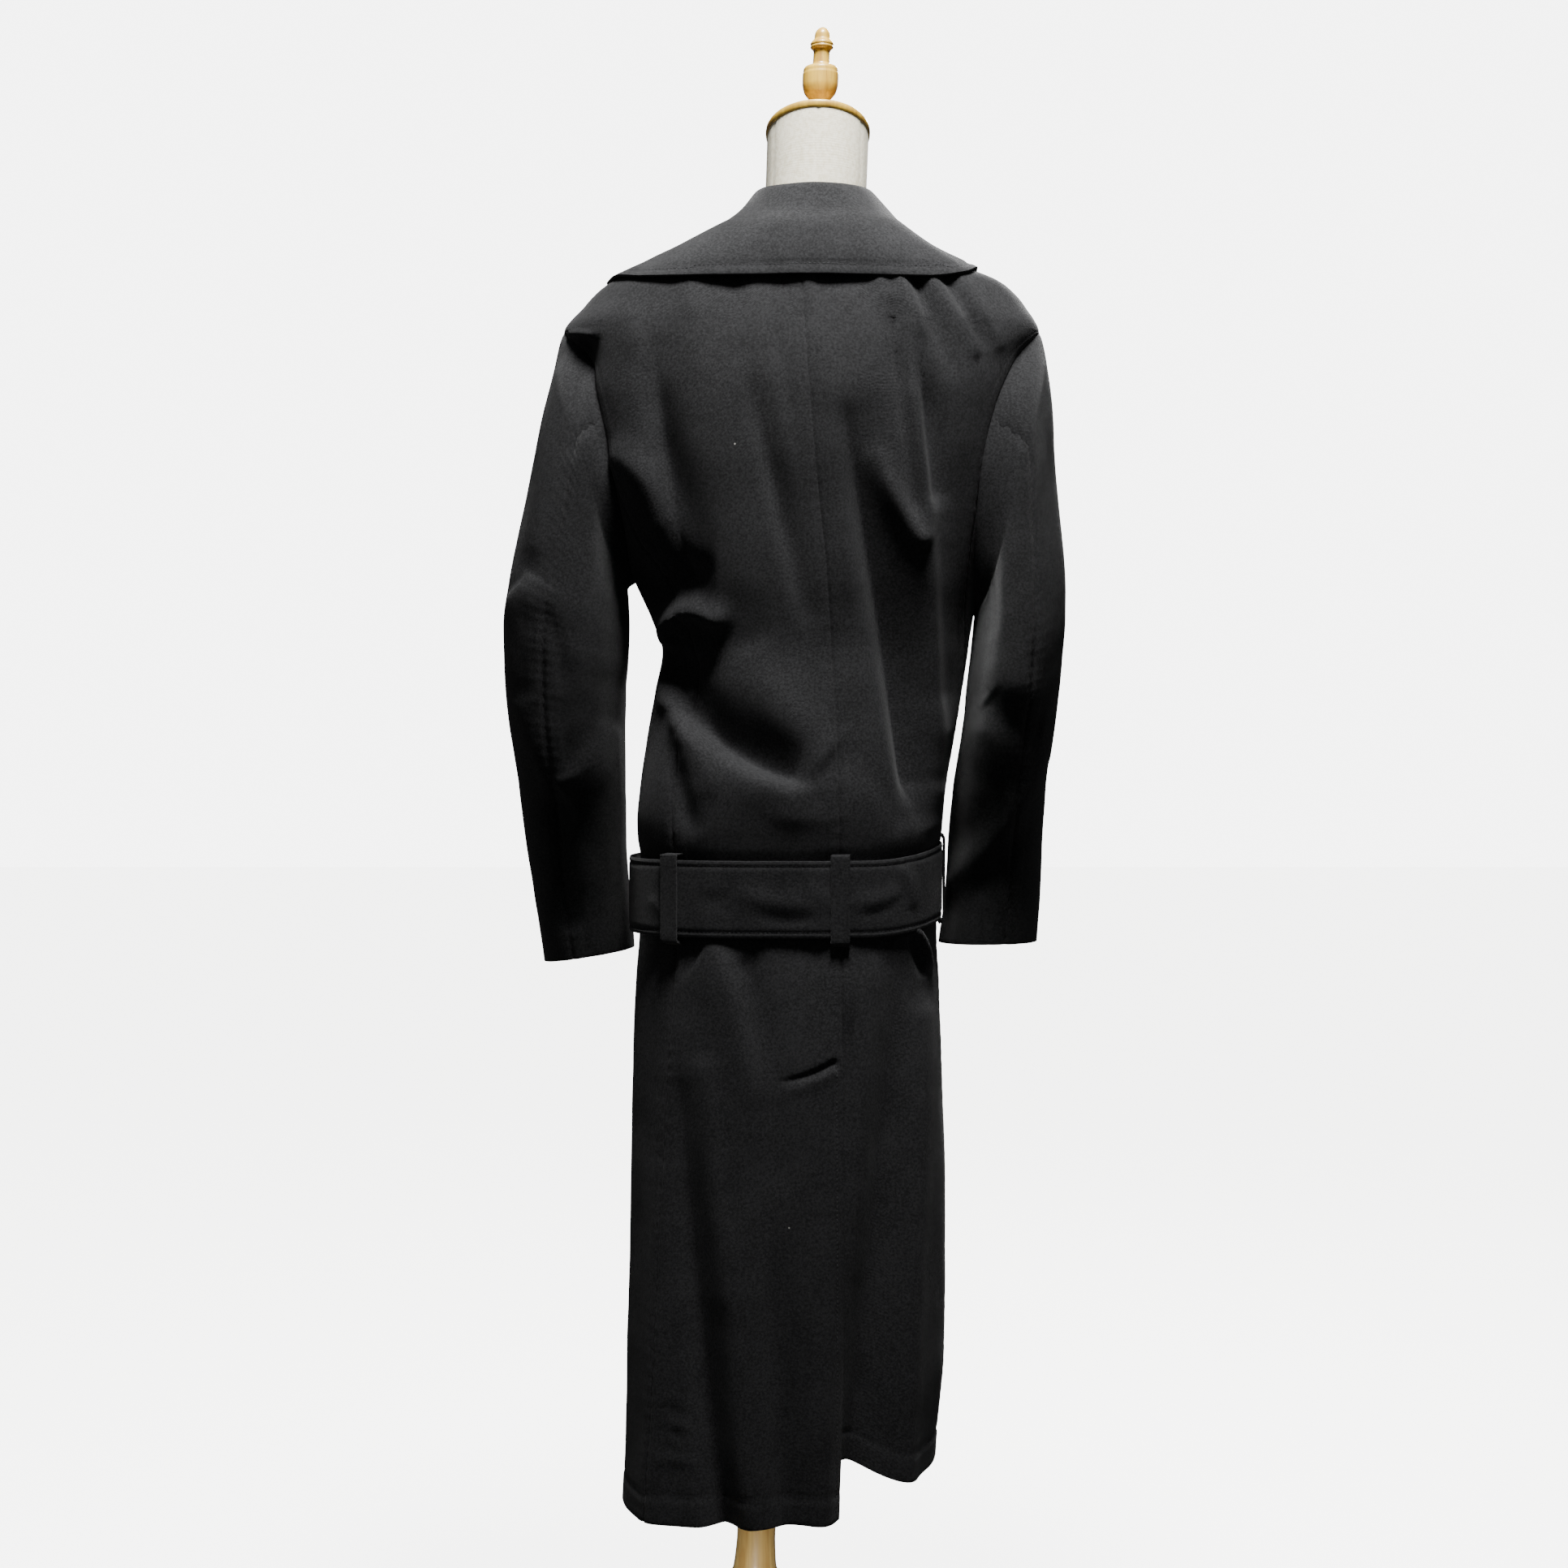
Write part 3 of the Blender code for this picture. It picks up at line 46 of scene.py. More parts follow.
coat = {
    "wall": 0.002,
    "seamGap": -0.0010,  # the pieces meet, so no light comes through a seam
    "neckSeam": 1.505, "hemLevel": 0.27, "hemFall": 0.25,
    # height, reach to +X, -X, +Y (back) and -Y (front), squareness of the section
    "sections": metres((
        (240, 160, -147, 150, -143, 2.2), (300, 158, -149, 148, -141, 2.2),
        (400, 155, -157, 143, -136, 2.2), (500, 153, -159, 138, -131, 2.2),
        (600, 151, -158, 132, -125, 2.2), (700, 148, -155, 124, -119, 2.3),
        (770, 145, -152, 116, -114, 2.4), (812, 142, -150, 110, -110, 2.5),
        (888, 141, -150, 110, -108, 2.5), (896, 142, -151, 112.5, -109, 2.5),
        (906, 144, -154, 114.5, -112, 2.5), (925, 145, -156, 117.2, -115, 2.5),
        (950, 143, -158, 118.8, -115, 2.5), (1000, 136, -166, 110, -111, 2.5),
        (1050, 126, -174, 104, -110, 2.5), (1090, 118, -180, 101, -112, 2.5),
        (1120, 128, -185, 104, -117, 2.5), (1160, 146, -193, 109, -123, 2.6),
        (1220, 170, -205, 113, -129, 2.7), (1280, 188, -214, 118, -133, 2.7),
        (1330, 198, -224, 119, -129, 2.6), (1370, 204, -236, 116, -120, 2.4),
        (1400, 215.2, -250, 110, -110, 2.2), (1424, 197, -237, 104, -102, 2.2),
        (1446, 174, -217, 97, -94, 2.2), (1458, 141, -188, 90, -87, 2.2),
        (1468, 112, -160, 84, -81, 2.2), (1480, 80, -131, 77, -74, 2.2),
        (1492, 51, -107, 69, -65, 2.1), (1505, 30, -90, 60, -55, 2), (1520, 25, -84, 58, -52, 2),
        (1560, 22, -80, 57, -50, 2),
    ), plain=1),
    # height, X of the centre-back seam
    "centreBack": metres((
        (240, -57), (600, -55), (850, -53.2), (1000, -50), (1090, -45), (1160, -40.5), (1240, -32),
        (1300, -26.5), (1380, -20.5), (1440, -17), (1505, -30), (1560, -30),
    )),
    # height, share of the girth at the side-back seams (left, right) and side-front seams
    "seams": (
        (0.24, 0.14, -0.25, 0.315, -0.34), (0.6, 0.14, -0.245, 0.315, -0.335),
        (0.85, 0.13, -0.243, 0.315, -0.33), (1, 0.14, -0.24, 0.315, -0.325),
        (1.1, 0.152, -0.214, 0.315, -0.318), (1.15, 0.165, -0.196, 0.315, -0.316),
        (1.2, 0.173, -0.184, 0.315, -0.315), (1.275, 0.18, -0.18, 0.315, -0.315),
        (1.56, 0.18, -0.18, 0.315, -0.315),
    ),
    # share of the girth, height of the hem
    "hem": {
        1: ((-0.07, 0.272), (0.04, 0.269), (0.14, 0.262), (0.25, 0.256), (0.35, 0.266),
            (0.50, 0.275), (0.56, 0.275)),
        -1: ((-0.56, 0.275), (-0.50, 0.275), (-0.35, 0.288), (-0.25, 0.297), (-0.13, 0.303),
             (-0.07, 0.326), (-0.02, 0.330)),
    },
    # top, level of the widest place, half widths; the foot is lower on the right
    "armhole": {"tip": 1.400, "join": 1.275, "back": 0.070, "front": 0.065,
                "foot": {1: 1.160, -1: 1.132}},
    # height, share of the front edge on the under (left) and the over (right) front
    "wrap": ((0.24, 0.540, 0.560), (0.89, 0.540, 0.560), (0.94, 0.522, 0.545),
             (1.00, 0.497, 0.503)),
    "wrapLift": 0.0040, "wrapShares": (0.385, 0.445),
    "wrinkle": (0.684, 0.712), "wrinkleRows": 16,
    "vent": {
        "underlap": 0.040, "depth": 0.0034, "top": 0.702, "fold": 0.0006, "stitchIn": 0.007,
        # levels where it laps, sinks and opens, negative because these steps run down; then the
        # share beside the centre that is sunk, and the width that is turned under
        "laps": (-0.715, -0.640), "sinks": (-0.765, -0.720), "opens": (-0.72, -0.70),
        "under": (-0.030, -0.002), "turned": (0.030, 0.036),
    },
    # seed, size and height of the waves that leave no stretch of cloth quite even
    "waves": ((3, 0.11, 0.0005), (4, 0.035, 0.00012)),
}
# depths, widths and places of what seams and hems do to the cloth
relief = {
    "dip": 0.0014, "dipWidth": 0.0022, "allowance": 0.0004, "allowanceEnd": (0.011, 0.014),
    "pucker": 0.0003, "puckerLength": 0.013, "puckerReach": 0.008,
    "hemLine": 0.0010, "hemAt": 0.026, "hemWidth": 0.0022,
    "hemFold": 0.0006, "hemEnd": (0.024, 0.028),
}
sideNames = {1: "Left", -1: "Right"}


def column(rows, k):
    return np.array([row[k] for row in rows], float)


def hermite(t, start, leave, end, arrive):
    # a cubic from start to end with the given slopes
    return ((2 * t**3 - 3 * t**2 + 1) * start + (t**3 - 2 * t**2 + t) * leave
            + (3 * t**2 - 2 * t**3) * end + (t**3 - t**2) * arrive)


def smoothRead(x, xs, ys):
    # a curve through the table that never overshoots its rows
    xs, ys = np.asarray(xs, float), np.asarray(ys, float)
    x = np.clip(np.asarray(x, float), xs[0], xs[-1])
    i = np.clip(np.searchsorted(xs, x, side="right") - 1, 0, len(xs) - 2)
    slope = np.diff(ys) / np.diff(xs)
    tangent = np.zeros(len(xs))
    tangent[0], tangent[-1] = slope[0], slope[-1]
    before, after = slope[:-1], slope[1:]
    same = before * after > 0
    total = np.where(same, before + after, 1.0)
    tangent[1:-1] = np.where(same, 2 * before * after / total, 0.0)
    h = xs[i + 1] - xs[i]
    return hermite((x - xs[i]) / h, ys[i], h * tangent[i], ys[i + 1], h * tangent[i + 1])


def tableRead(rows, k, x):
    return smoothRead(x, column(rows, 0), column(rows, k))


def sectionAt(rows, z):
    return [float(tableRead(rows, k, z)) for k in range(1, 6)]


def smoothCurves(wanted, given, points):
    # each column of points, read again at other places along it
    return np.stack([np.stack([smoothRead(wanted, given, row) for row in points[:, j].T], axis=-1)
                     for j in range(points.shape[1])], axis=1)


def smoothstep(low, high, x):
    t = np.clip((np.asarray(x, float) - low) / (high - low), 0.0, 1.0)
    return t * t * (3 - 2 * t)


def dent(distance, depth, width):
    return -depth * np.exp(-((distance / width) ** 2))


def unit(vectors):
    return vectors / np.maximum(np.linalg.norm(vectors, axis=-1, keepdims=True), 1e-12)


def pathLength(points):
    return np.concatenate([[0.0], np.cumsum(np.linalg.norm(np.diff(points, axis=0), axis=-1))])


def aroundFrom(share):
    # the same place as a share from -0.5 to 0.5
    return (share + 0.5) % 1.0 - 0.5


def sectionPoints(section, shares, steps=193):
    # X and Y round one level section, by share of the girth from the centre back
    left, right, back, front, square = section
    shares = aroundFrom(np.asarray(shares, float))
    middle, across = (left + right) / 2, (left - right) / 2
    quarter = np.abs(shares) / 0.25
    angles = np.linspace(0, math.pi / 2, steps)
    x, y = np.zeros(len(shares)), np.zeros(len(shares))
    for along, facing, part, chosen in ((back, 1, quarter, quarter <= 1),
                                        (-front, -1, 2 - quarter, quarter > 1)):
        def reach(turn):
            return (np.abs(np.sin(turn) / across) ** square
                    + np.abs(np.cos(turn) / along) ** square) ** (-1 / square)
        r = reach(angles)
        length = pathLength(np.stack([r * np.sin(angles), r * np.cos(angles)], axis=1))
        turn = np.interp(part[chosen] * length[-1], length, angles)
        x[chosen] = reach(turn) * np.sin(turn)
        y[chosen] = facing * reach(turn) * np.cos(turn)
    return middle + np.sign(shares) * x, y


def ringPoints(section, shares, z):
    x, y = sectionPoints(section, shares)
    return np.stack([x, y, np.full_like(x, z)], axis=1)


def surfaceTable(heights, shares, sections):
    points = np.array([ringPoints(sectionAt(sections, z), shares, z) for z in heights])
    around = np.gradient(points, shares, axis=1)
    up = np.gradient(points, heights, axis=0)
    # the share runs on past its ends, so the two ends share one slope
    around[:, 0] = around[:, -1] = (points[:, 1] - points[:, -2]) / (2 * (shares[1] - shares[0]))
    return points, -unit(np.cross(around, up))


coatHeights = np.arange(0.225, 1.5776, 0.0025)
coatShares = np.linspace(-0.5, 0.5, 961)
coatPoints, coatNormals = surfaceTable(coatHeights, coatShares, coat["sections"])
coatGirths = np.linalg.norm(np.diff(coatPoints, axis=1), axis=2).sum(axis=1)


def girth(z):
    return np.interp(z, coatHeights, coatGirths)


def plainSurface(share, z):
    # the plain coat's points and outward normals, between the rows of its table
    share, z = np.broadcast_arrays(np.asarray(share, float), np.asarray(z, float))
    u = ((share + 0.5) % 1.0) * (len(coatShares) - 1)
    v = (z - coatHeights[0]) / (coatHeights[1] - coatHeights[0])
    v = np.clip(v, 0, len(coatHeights) - 1.001)
    i, j = v.astype(int), np.minimum(u.astype(int), len(coatShares) - 2)
    a, b = (v - i)[..., None], (u - j)[..., None]

    def mixed(table):
        return ((table[i, j] * (1 - a) + table[i + 1, j] * a) * (1 - b)
                + (table[i, j + 1] * (1 - a) + table[i + 1, j + 1] * a) * b)

    return mixed(coatPoints), unit(mixed(coatNormals))


# folds: curves in the X-Z plane through three points, raised or sunk. In mm: x0, z0, x1, z1, x2,
# z2, width on either side of the curve (its own left and right, seen from behind), height at its
# start, middle and end; then how peaked it is
folds = {
    "back": metres((
        # left side: the long crease, the edge of the lit part, the hollow under it, the curl,
        # the pocket and the bulge
        (125.2, 1393.7, 113, 1271.6, 87, 1132.6, 14, 22, -3, -15, -10, 0.3),
        (169.5, 1274.6, 125.2, 1242.6, 88.6, 1155.5, 26, 16, 4, 11, 6, 0.1),
        (151.2, 1172.3, 109.9, 1143.3, 62.6, 1134.2, 20, 36, -5, -10, -5, 0),
        (116, 1088.3, 97.7, 1125, 51.9, 1106.7, 10, 13, 7, 15, 7, 0.1),
        (106.9, 1091.4, 76.3, 1015.1, -32.1, 961.6, 10, 32, -15, -24, -13, 0.2),
        (39.7, 1096, 1.5, 1028.8, -44.3, 978.4, 24, 30, 2, 7, 6, 0),
        (113, 1088.3, 96.2, 1024.2, 61.1, 943.3, 18, 12, 8, 10, 1, 0),
        (62.6, 992.1, 19.9, 967.7, -29, 950.9, 30, 10, 2, 4, 1, 0),
        (113, 1038, 103.8, 981.5, 90.1, 917.3, 12, 11, -3, -4, -2, 0),
        # middle: shallow valleys either side of the centre seam
        (33.6, 1355.6, 7.6, 1233.4, -26, 1096, 9, 15, -1, -9, -1, 0.1),
        (6.1, 1389.9, -1.5, 1340.3, -9.2, 1271.6, 7, 7, -1, -2.4, -1, 0),
        (-39.7, 1378.5, -50.4, 1271.6, -64.1, 1118.9, 10, 14, 1, 2.4, 2, 0),
        # right side: the crease that runs to the waist, its crest, the deep valleys at the shoulder
        (-53.4, 1332.7, -85.5, 1155.5, -132.8, 917.3, 14, 32, -2, -23, -24, 0.4),
        (-120.6, 1355.6, -139, 1149.4, -148.1, 912.7, 16, 12, 3, 11, 13, 0.1),
        (-101.5, 1422.8, -111.5, 1332.7, -127.5, 1199.1, 10, 7, -2, -12, -6, 0.3),
        (-84, 1283, -106.9, 1224.2, -132.8, 1183, 12, 10, 1, 11, 8, 0.1),
        (-125.2, 1393.7, -137.4, 1309.8, -146.6, 1218.1, 9, 13, -1, -14, -6, 0.1),
        (-154.2, 1378.5, -163.4, 1210.5, -168, 1012, 34, 36, 2, -9, -8, 0),
        (-105.4, 1443.4, -122.2, 1401.4, -139, 1317.4, 8, 8, 5, 5, 0, 0.1),
        (-120.6, 1443.4, -140.5, 1396.8, -163.4, 1340.3, 7, 8, -4, -5.8, -1, 0.1),
        (-134.4, 1445.7, -161.9, 1401.4, -184.8, 1363.2, 8, 9, 4, 4.6, 2, 0),
        (-148.1, 1447.2, -172.5, 1407.5, -195.5, 1370.8, 6, 7, -3, -3.6, -1, 0),
        (-164.9, 1447.2, -187.8, 1405.2, -206.1, 1370.8, 8, 9, 3, 3.4, 1, 0),
        (-87, 1451, -91.6, 1428.1, -96.2, 1393.7, 8, 8, 4, 3, 1, 0),
        (-19.9, 1451, -22.1, 1431.9, -23.7, 1401.4, 10, 10, 3, 2, 0, 0),
        (50.4, 1451, 46.6, 1428.1, 44.3, 1393.7, 12, 12, -3, -2, 0, 0),
        (87, 1451, 84, 1401.4, 80.9, 1332.7, 14, 14, 3, 3, 1, 0),
        (149.6, 1409, 138.2, 1378.5, 126.7, 1355.6, 12, 12, 1, 3, 1, 0),
        # the roll over the belt
        (99.3, 981.5, 94.7, 947.1, 82.5, 912.7, 9, 9, -1, -3, -2, 0),
        (-61.1, 996.7, -90.9, 962.4, -119.1, 917.3, 14, 14, -1, -3, -3, 0),
        (27.5, 935.7, -18.3, 929.5, -71.8, 932.6, 8, 10, 0, 1.6, 0, 0),
        # skirt
        (78.5, 812, 48.3, 755.4, 27.2, 581.8, 26, 12, 2, 8, 1, 0.1),
        (40.8, 800.7, 19.6, 725.2, 4.5, 559.1, 11, 18, -2, -6, -2, 0),
        (75.5, 710.1, 66.4, 604.4, 52.8, 453.5, 16, 12, 2, 5, 2, 0),
        (99.6, 702.5, 87.6, 498.7, 61.9, 257.2, 10, 24, -1, -13, -25, 0.2),
        (116.2, 619.5, 120.8, 445.9, 123, 257.2, 16, 16, 1, 6, 8, 0),
        (27.2, 679.9, 13.6, 513.8, -4.5, 257.2, 14, 22, -2, -9, -14, 0.1),
        (52.8, 574.2, 43.8, 423.3, 33.2, 257.2, 14, 14, 1, 5, 8, 0),
        (-33.2, 559.1, -36.2, 423.3, -39.2, 257.2, 12, 12, 0, 2.4, 4, 0),
        (9.1, 682.2, -24.2, 690.5, -50.6, 704, 5, 3, -0.6, -3, -3.6, 0.4),
        (7.5, 676.9, -24.2, 682.9, -50.6, 695, 8, 4, 0.4, 1.6, 1.6, 0.1),
        (-75.5, 800.7, -78.5, 649.7, -72.5, 468.6, 16, 16, 1, 4, 1, 0),
        (-113.2, 815.8, -93.6, 589.3, -66.4, 257.2, 20, 24, -1, -15, -24, 0.1),
        (-132.8, 762.9, -125.3, 574.2, -107.2, 257.2, 13, 14, 5, 12, 13, 0.1),
        (-122.3, 824.8, -133.6, 806.7, -141.9, 781, 4, 5, 6, 8, 3, 0.3),
        (-119.3, 815.8, -128.3, 796.1, -135.9, 775, 4, 4, -3, -6, -2, 0.3),
        (116.2, 376.5, 104.2, 382.5, 93.6, 375, 4, 4, 0.5, 1.4, 0.4, 0.2),
        (113.2, 356.8, 99.6, 359.9, 86, 353.8, 5, 4, 0.4, 1.6, 0.6, 0.1),
        (114.7, 340.2, 104.2, 343.3, 92.1, 337.2, 4, 4, 0.4, 1.2, 0.4, 0.2),
        (117.7, 320.6, 101.1, 326.7, 81.5, 323.6, 5, 5, 0.5, 1.6, 0.8, 0.1),
        # left sleeve: the pocket at its head, the elbow, the fold that ends in a point
        (187, 1390.8, 191, 1348.5, 203.5, 1262.4, 9, 10, -4, -7, -1, 0.1),
        (209.7, 1394.7, 195.7, 1393.1, 178.4, 1384.5, 5, 4, 2, 3.6, 2, 0.2),
        (208.2, 1372, 227, 1278.1, 241, 1168.5, 12, 10, 1, 4, 3, 0),
        (263, 1149.7, 247.3, 1141.9, 231.7, 1159.1, 22, 22, 2, 4.6, 1, 0),
        (233.2, 1135.7, 216.8, 1098.1, 214.4, 1043.3, 10, 8, -0, -1.8, -0, 0.1),
        (164.3, 1021.4, 191, 977.6, 220.7, 952.5, 12, 28, 2, 5, 4, 0.1),
        (255.1, 1051.1, 239.5, 992.4, 220.7, 952.5, 14, 20, 2, 6, 3, 0.1),
        (220.7, 951, 216, 879, 211.3, 808.5, 12, 12, -4, -5, -4, 0.1),
        (175.3, 1278.1, 167.5, 1207.7, 167.5, 1137.2, 12, 14, 0, -4, 0, 0),
        # right sleeve: a nick at the elbow, the fold under it and the long fold to the cuff
        (-186.3, 1105.9, -211.3, 1062.1, -258.3, 1038.6, 26, 20, 1, 3, 1, 0),
        (-192.5, 1043.3, -220.7, 1024.5, -252, 1012, 16, 14, -2, -3, -2, 0),
        (-266.1, 1051.1, -236.3, 952.5, -144, 838.3, 14, 18, 0, 3.5, 5, 0.1),
        (-261.4, 988.5, -241.8, 925.9, -175.3, 839.8, 14, 14, -1, -2, -2, 0),
        (-222.3, 1372, -231.7, 1293.7, -242.6, 1199.8, 12, 12, 0, 2.4, 0, 0),
    ), plain=1),
    "front": metres((
        (120, 1080, 108, 1000, 100, 920, 15, 15, -2.7, -8.8, -5.4, 0.1),
        (150, 1180, 90, 1060, 60, 930, 17, 17, 2.2, 6.7, 4, 0),
        (-140, 1120, -120, 1020, -100, 920, 15, 15, -3.2, -9.5, -5.4, 0.1),
        (-165, 1200, -110, 1060, -70, 930, 17, 17, 2.2, 6.7, 4, 0),
        (85, 780, 92, 550, 100, 250, 20, 20, -2.2, -10.8, -16.2, 0),
        (-95, 780, -100, 550, -105, 250, 20, 20, -2.2, -10.8, -16.2, 0),
        (164, 1000, 205, 980, 255, 1010, 14, 14, -4, -8.4, -3.4, 0.1),
        (-180, 1010, -215, 985, -262, 1010, 14, 14, -4, -8.4, -3.4, 0.1),
        (50, 985, 40, 950, 34, 915, 10, 10, 0.8, 3, 2, 0),
        (-40, 985, -40, 950, -34, 915, 10, 10, 0.9, 3.1, 2, 0),
        (128, 1020, 122, 960, 118, 915, 9, 9, 1, 3.4, 2.2, 0),
        (-140, 1010, -134, 955, -128, 915, 9, 9, 1, 3.4, 2.2, 0),
        (55, 790, 58, 640, 62, 430, 14, 14, 1.2, 2.6, 1.1, 0),
        (-60, 790, -64, 640, -68, 430, 14, 14, 1.2, 2.6, 1.1, 0),
        (30, 520, 34, 400, 36, 250, 18, 18, -0.8, -3.4, -4.8, 0),
        (-30, 520, -36, 400, -40, 250, 18, 18, -0.7, -2.9, -4, 0),
        (236, 1330, 232, 1240, 236, 1150, 12, 12, -0.9, -2.6, -1.5, 0),
        (-240, 1330, -238, 1240, -240, 1150, 12, 12, -0.9, -2.6, -1.5, 0),
        (176, 1040, 210, 1030, 245, 1050, 10, 10, 1.4, 2.9, 1.2, 0),
        (-190, 1046, -218, 1030, -250, 1046, 10, 10, 1.4, 2.9, 1.2, 0),
    ), plain=1),
    "fade": 0.10, "facing": (0.05, 0.45), "steps": 25, "peak": 1.7,
    "collarCovers": 1.437,  # folds that start above this start under the collar
}


def foldLines(rows):
    lines = []
    t = np.linspace(0, 1, folds["steps"])
    for x0, z0, x1, z1, x2, z2, nearWidth, farWidth, start, middle, end, sharp in rows:
        first, through, last = np.array([[x0, z0], [x1, z1], [x2, z2]])
        line = bezier((first, 2 * through - 0.5 * (first + last), last), t)
        fade = smoothstep(0, folds["fade"], t) if z0 < folds["collarCovers"] else 1.0
        if z2 > coat["hemLevel"]:  # the others run out at the hem
            fade = fade * smoothstep(0, folds["fade"], 1 - t)
        height = smoothRead(t, (0.0, 0.5, 1.0), (start, middle, end)) * fade
        lines.append((line, height, nearWidth, farWidth, sharp))
    return lines


def bezier(points, t):
    level = [np.array(point)[None, :] for point in points]
    while len(level) > 1:
        level = [a * (1 - t[:, None]) + b * t[:, None] for a, b in zip(level, level[1:])]
    return level[0]


backLines, frontLines = foldLines(folds["back"]), foldLines(folds["front"])


def foldSum(points, lines):
    # the height of all these lines at each point, seen along Y
    flat = points.reshape(-1, 3)[:, (0, 2)]
    total = np.zeros(len(flat))
    for line, height, nearWidth, farWidth, sharp in lines:
        reach = 3 * max(nearWidth, farWidth)
        inside = ((flat > line.min(axis=0) - reach) & (flat < line.max(axis=0) + reach)).all(axis=1)
        here = flat[inside]
        best, raised, side = np.full(len(here), 9.0), np.zeros(len(here)), np.ones(len(here))
        for a, b, ha, hb in zip(line, line[1:], height, height[1:]):
            way = b - a
            t = np.clip((here - a) @ way / (way @ way), 0, 1)
            off = here - a - t[:, None] * way
            far = np.hypot(off[:, 0], off[:, 1])
            nearer = far < best
            best[nearer] = far[nearer]
            raised[nearer] = (ha + (hb - ha) * t)[nearer]
            side[nearer] = np.sign(way[0] * off[:, 1] - way[1] * off[:, 0])[nearer]
        d = best / np.where(side > 0, nearWidth, farWidth)
        shape = (1 - sharp) * np.exp(-d * d) + sharp * np.exp(-folds["peak"] * d)
        total[inside] += raised * shape
    return total.reshape(points.shape[:-1])


def foldHeights(points, normals):
    # how far the folds raise the cloth at these points, on the side that each faces
    facing = normals[..., 1]
    total = np.where(facing > 0, foldSum(points, backLines), foldSum(points, frontLines))
    return total * smoothstep(*folds["facing"], np.abs(facing))


ripple = {"count": 14, "long": 0.55, "spread": (0.6, 1.6), "shift": 6.28}


def ripples(points, seed, size, height):
    # a seeded sum of gentle waves, longer down the cloth than across it
    rng = np.random.default_rng(seed)
    total = np.zeros(points.shape[:-1])
    for _ in range(ripple["count"]):
        way = unit(rng.normal(size=3)) * np.array([1, 1, ripple["long"]])
        length = size * rng.uniform(*ripple["spread"])
        total += np.sin(points @ (way * 2 * math.pi / length) + rng.uniform(0, ripple["shift"]))
    return total * height / math.sqrt(ripple["count"] / 2)


def waves(points, rows):
    return sum(ripples(points, *row) for row in rows)


def coatSurface(share, z, out=0.0):
    points, normals = plainSurface(share, z)
    raised = foldHeights(points, normals) + waves(points, coat["waves"])
    return points + normals * (raised + out)[..., None], normals


def gridNormals(points):
    return unit(np.cross(np.gradient(points, axis=1), np.gradient(points, axis=0)))


def crowded(count, pull):
    # steps from 0 to 1 that crowd towards both ends
    t = np.linspace(0, 1, count)
    return t - pull * np.sin(2 * math.pi * t) / (2 * math.pi)


def seamRelief(distance, along, seed):
    # the dip at a seam, the flat rise of its pressed allowance and the stitches' slight pucker
    allowance = relief["allowance"] * (1 - smoothstep(*relief["allowanceEnd"], distance))
    wave = np.sin(along * 2 * math.pi / relief["puckerLength"] + np.sin(along * 31 + seed) * 2)
    pucker = relief["pucker"] * wave * np.exp(-distance / relief["puckerReach"])
    return dent(distance, relief["dip"], relief["dipWidth"]) + allowance + pucker


def hemRelief(level):
    # the line of the hem's stitches, and the double cloth under it
    above = level - level[:1]
    return (dent(above - relief["hemAt"], relief["hemLine"], relief["hemWidth"])
            + relief["hemFold"] * (1 - smoothstep(*relief["hemEnd"], above)))


pieceList = {}


def putPiece(piece, slotName, material, *nodes):
    piece.data.materials.clear()
    piece.data.materials.append(material)
    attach(piece, "root")
    if nodes:
        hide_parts(*nodes)
    pieceList[piece.name] = piece
    return piece


def selectOnly(piece):
    bpy.ops.object.select_all(action="DESELECT")
    piece.select_set(True)
    bpy.context.view_layer.objects.active = piece


def addPiece(name, add, **settings):
    bpy.ops.object.select_all(action="DESELECT")
    add(**settings)
    piece = bpy.context.object
    piece.name = piece.data.name = name
    return piece


def startEdit(piece):
    selectOnly(piece)
    bpy.ops.object.mode_set(mode="EDIT")
    bpy.ops.mesh.select_all(action="SELECT")


def endEdit():
    # the faces look outward
    bpy.ops.mesh.select_all(action="SELECT")
    bpy.ops.mesh.normals_make_consistent(inside=False)
    bpy.ops.object.mode_set(mode="OBJECT")


def smoothBelow(piece, angle):
    startEdit(piece)
    endEdit()
    bpy.ops.object.shade_smooth_by_angle(angle=math.radians(angle))


def getPoints(piece):
    return np.array([vertex.co for vertex in piece.data.vertices])


def setPoints(piece, points):
    piece.data.vertices.foreach_set("co", points.reshape(-1).astype(np.float32))
    piece.data.update()


def setUv(piece, flat):
    corner = np.zeros(len(piece.data.loops), np.int32)
    piece.data.loops.foreach_get("vertex_index", corner)
    flat = flat.reshape(-1, 2)[corner].reshape(-1).astype(np.float32)
    piece.data.uv_layers[0].data.foreach_set("uv", flat)


def thicken(piece, thickness, offset):
    wall = piece.modifiers.new("wall", "SOLIDIFY")
    wall.thickness, wall.offset = thickness, offset


def roundEdges(piece, width, segments, angle):
    soft = piece.modifiers.new("rim", "BEVEL")
    soft.width, soft.segments, soft.limit_method = width, segments, "ANGLE"
    soft.angle_limit = math.radians(angle)


def applyModifiers(piece):
    selectOnly(piece)
    for modifier in list(piece.modifiers):
        bpy.ops.object.modifier_apply(modifier=modifier.name)


